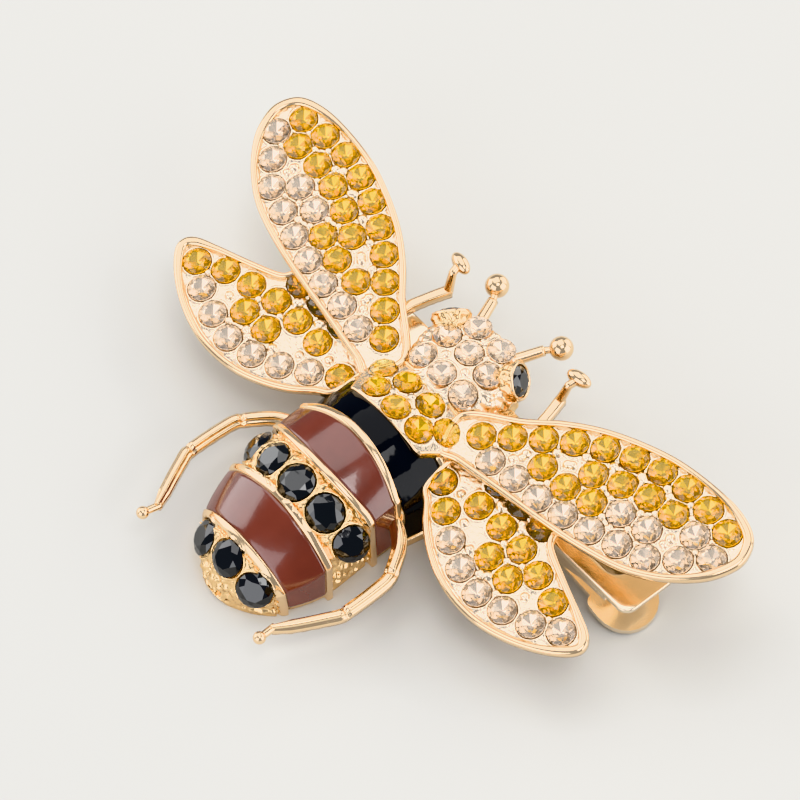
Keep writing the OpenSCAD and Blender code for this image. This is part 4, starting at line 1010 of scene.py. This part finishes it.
# one side's grids: rear leg with ankle and toe, front leg with shin and foot, antenna with its ball, eye cup
def limbGrids():
    rear, front, antenna, eye = (limbs[k] for k in ("rear", "front", "antenna", "eye"))
    path = np.array(rear["path"])[:, ::-1] * [rear["bow"], -rear["length"]] + rear["start"]
    ankle = np.array([*path[-1], rear["ankleZ"]])
    toe = ankle + rear["toe"]
    grids = [flatBar(path, rear), roundBar(barLine([ankle + rear["shinBack"], toe]), rear["radii"]),
             ball(toe, rear["ball"], 18, 28)]
    path = np.array(front["path"]) * [front["reach"], front["length"]] + front["start"]
    knee = np.array([*path[-1], front["kneeZ"]])
    toe = knee + front["toe"]
    shin = barLine([knee + front["shinBack"], knee + front["shin"], toe])
    grids += [flatBar(path, front), roundBar(shin, front["radii"], upward=(1, 0.2, 0)),
              turned(toe, front["footAxis"], halfOval(*front["foot"], 19, end=math.radians(0.1)), 36)]
    a, b, c = np.array(antenna["corners"])
    grids += [roundBar(barLine([a, b]), antenna["stalk"]),
              roundBar(barLine([b - (c - b) * antenna["lap"], c]), antenna["tip"]),
              ball(c + [0, 0, antenna["ballLift"]], antenna["ball"], 28, 44)]
    bottom, low, high = (np.array(q) for q in (eye["bottom"], eye["side"], eye["rim"][0]))
    wall = np.concatenate([[bottom], low + (high - low) * np.linspace(0, 1, 12)[:, None]])
    wall = turned(eye["place"], eye["axis"], wall, 96)
    mask = np.ones(wall.shape[:2])
    mask[[0, -1]] = 0
    return grids + [turned(eye["place"], eye["axis"], eye["rim"]), roughen(wall, mask, *eye["rough"])]


# both sides in one piece; the last grid, the eye cup's wall, has nugget texture
def limbPieces():
    both = []
    for p, number in zip(limbGrids(), [0] * 10 + [1]):
        both.append((p + shift, False, True, False, number))
        both.append((p * [-1, 1, 1] + shift, False, True, True, number))
    gridPiece("legsAndAntennae", both, [gold, goldNugget], replaced=["gold_casting"])


limbPieces()
print("head, collar and limbs made")

# clip arm soldered under the collar: levels, ends, slot and side rails in mm
clip = {"low": 6.3, "top": 6.9, "y": 5.5, "half": 3.5, "start": -15.0, "end": 30.5, "startRound": 1.5,
        "endRound": 1.3, "slot": (19.5, 26.9), "slotHalf": 1.61, "slotRound": 1.6, "bevel": 0.12,
        "halfBevel": 0.04, "railIn": (2.9, 3.5), "railBevel": 0.1,
        "rail": [[8.5, 6.4], [14, 3.5], [19, 3.5], [24, 5.4], [27.5, 5.7], [27.5, 6.4]]}
# solder block between clip and collar, with two ridges behind the collar: (y, height at the middle)
neck = {"half": 4.4, "y": 2.6, "halfY": 2.0, "round": 0.4, "bottom": 6.7, "top": 9.4, "bevel": 0.2,
        "ridges": ((3.2, 10.36), (3.62, 10.3)), "ridgeHalf": 4.9, "ridgeRound": 15.0, "ridgeRadius": 0.26}


# clockwise outline of a strip from x0 to x1 with rounded corners: quarter turns of radius r0 and r1
def stripRing(x0, x1, y, half, r0, r1):
    a = np.radians(np.arange(0, 91, 10))
    corners = ((x0 + r0, y + half - r0, r0, 180), (x1 - r1, y + half - r1, r1, 90),
               (x1 - r1, y - half + r1, r1, 0), (x0 + r0, y - half + r0, r0, 270))
    turns = [(cx, cy, r, math.radians(start) - a) for cx, cy, r, start in corners]
    return np.concatenate([np.stack([cx + r * np.cos(t), cy + r * np.sin(t)], 1) for cx, cy, r, t in turns])


# ring of even points that starts where it is furthest right on the clip's centre line
def fromRight(ring):
    p = evenly(ring, 400, True)
    return np.roll(p, -int(np.argmax(p[:, 0] - 0.01 * np.abs(p[:, 1] - clip["y"]))), 0)


# the arm: rings up the slot's wall, over the top to the outside, down it and back underneath; then its two
# side rails
def clipArm():
    outer = fromRight(stripRing(clip["start"], clip["end"], clip["y"], clip["half"], clip["startRound"],
                                clip["endRound"]))
    slot = fromRight(stripRing(*clip["slot"], clip["y"], clip["slotHalf"], clip["slotRound"],
                               clip["slotRound"]))
    low, top, b, e = clip["low"], clip["top"], clip["bevel"], clip["halfBevel"]
    a, c = insetRing(slot, -b), insetRing(outer, b)
    mid = insetRing(outer, e)
    rows = [raised(slot, low + b), raised(slot, top - b), raised(insetRing(slot, -e), top - e),
            raised(a, top)]
    rows += [raised(a + (c - a) * s, top) for s in np.linspace(0, 1, 8)[1:]]
    rows += [raised(mid, top - e), raised(outer, top - b), raised(outer, low + b), raised(mid, low + e)]
    rows += [raised(c + (a - c) * s, low) for s in np.linspace(0, 1, 8)]
    grids = [(np.stack(rows) + shift, True, True, False, 0)]
    rail = evenly(np.array(clip["rail"])[::-1], 200, True)
    flat = plateRows(rail, level(clip["railIn"][1]), level(clip["railIn"][0]), 6, clip["railBevel"], wall=3)
    for m in (-1, 1):
        p = np.stack([flat[..., 0], clip["y"] + m * flat[..., 2], flat[..., 1]], -1)
        grids.append((p + shift, False, True, m > 0, 0))
    gridPiece("clipUpperArm", grids, [clipMetal], replaced=["gold_casting"])


# the block is a plate, and a ridge falls from its middle as x^2 / (2 * ridgeRound)
def neckPiece():
    ring = stripRing(-neck["half"], neck["half"], neck["y"], neck["halfY"], neck["round"], neck["round"])
    ring = evenly(ring, 160, True)
    parts = [plateRows(ring, level(neck["top"]), level(neck["bottom"]), 6, neck["bevel"])]
    x = np.linspace(-neck["ridgeHalf"], neck["ridgeHalf"], 60)
    for y, z in neck["ridges"]:
        path = np.stack([x, np.full(60, y), z - x ** 2 / (2 * neck["ridgeRound"])], 1)
        parts.append(roundBar(path, [neck["ridgeRadius"]] * 2, 20))
    gridPiece("neckBlock", [(p + shift, False, True, False, 0) for p in parts], [goldNugget],
              replaced=["gold_casting"])


clipArm()
neckPiece()
print("clip and neck made")

for name in ("clip_lever", "hinge_pin", "spring"):  # these show their CAD solids
    mesh = nodes[name].data
    mesh.materials.clear()
    mesh.materials.append(clipMetal)

# soft studio light: a tent of large panels on all sides that the gold mirrors, and a small key panel high on
# the camera's side for the glints; places and sizes in metres, power in watts
studio = {
    "floor": "#C4C2BD", "floorHalf": 3, "sky": "#DDE2EA", "skyStrength": 0.5,
    "panels": {
        "overheadPanel": {"place": (-0.25, 0.09, 0.54), "size": 0.56, "power": 2.0, "colour": "#FFFFFF"},
        "leftPanel": {"place": (-0.60, -0.30, 0.24), "size": 0.56, "power": 3.2, "colour": "#FFFFFF"},
        "rightPanel": {"place": (0.55, 0.30, 0.26), "size": 0.58, "power": 3.5, "colour": "#FFFFFF"},
        "farPanel": {"place": (0.05, 0.66, 0.26), "size": 0.58, "power": 3.2, "colour": "#FFFAF2"},
        "nearPanel": {"place": (0.10, -0.64, 0.26), "size": 0.56, "power": 2.6, "colour": "#F8FAFF"},
        "keyPanel": {"place": (0.20, -0.06, 0.60), "size": 0.22, "power": 0.9, "colour": "#FFFFFF"}}}
# camera where the photograph was taken from, fitted to the stones of all four wings; back points away from
# its view
view = {"place": (0.16118, -0.13025, 0.33502), "back": (0.41833, -0.34828, 0.83887), "lens": 176.4,
        "sensor": 36.0}


# a lamp or camera at a place, with its back along a direction: right is square to that and level, up square
# to both
def aim(name, data, place, back):
    o = bpy.data.objects.new(name, data)
    back = np.array(back) / np.linalg.norm(back)
    right = np.cross([0, 0, 1], back)
    right /= np.linalg.norm(right)
    columns = np.stack([right, np.cross(back, right), back, place], 1)
    o.matrix_world = Matrix([*columns.tolist(), [0, 0, 0, 1]])
    bpy.context.scene.collection.objects.link(o)
    return o


# plain pale floor: matt card, so that it takes soft shadows and no mirror image
floorMaterial, t = newMaterial("paleFloor")
card = {"Base Color": linear(studio["floor"]), "Roughness": 0.75}
finishMaterial(t, addNode(t, "ShaderNodeBsdfPrincipled", card))
floor = bpy.data.objects.new("floor", bpy.data.meshes.new("floor"))
h = studio["floorHalf"]
floor.data.from_pydata([(-h, -h, 0), (h, -h, 0), (h, h, 0), (-h, h, 0)], [], [(0, 1, 2, 3)])
floor.data.materials.append(floorMaterial)
bpy.context.scene.collection.objects.link(floor)

for name, panel in studio["panels"].items():
    lamp = bpy.data.lights.new(name, "AREA")
    lamp.size = panel["size"]
    lamp.energy = panel["power"]
    lamp.color = linear(panel["colour"])[:3]
    aim(name, lamp, panel["place"], panel["place"])
world = bpy.data.worlds.new("studio")
world.use_nodes = True
world.node_tree.nodes["Background"].inputs["Color"].default_value = linear(studio["sky"])
world.node_tree.nodes["Background"].inputs["Strength"].default_value = studio["skyStrength"]
bpy.context.scene.world = world
bpy.context.scene.view_settings.view_transform = "Khronos PBR Neutral"  # true colours, soft highlights

camera = aim("camera", bpy.data.cameras.new("camera"), view["place"], view["back"])
camera.data.lens = view["lens"]
camera.data.sensor_width = view["sensor"]
camera.data.clip_start = 0.01
bpy.context.scene.camera = camera
print("camera and lights set")
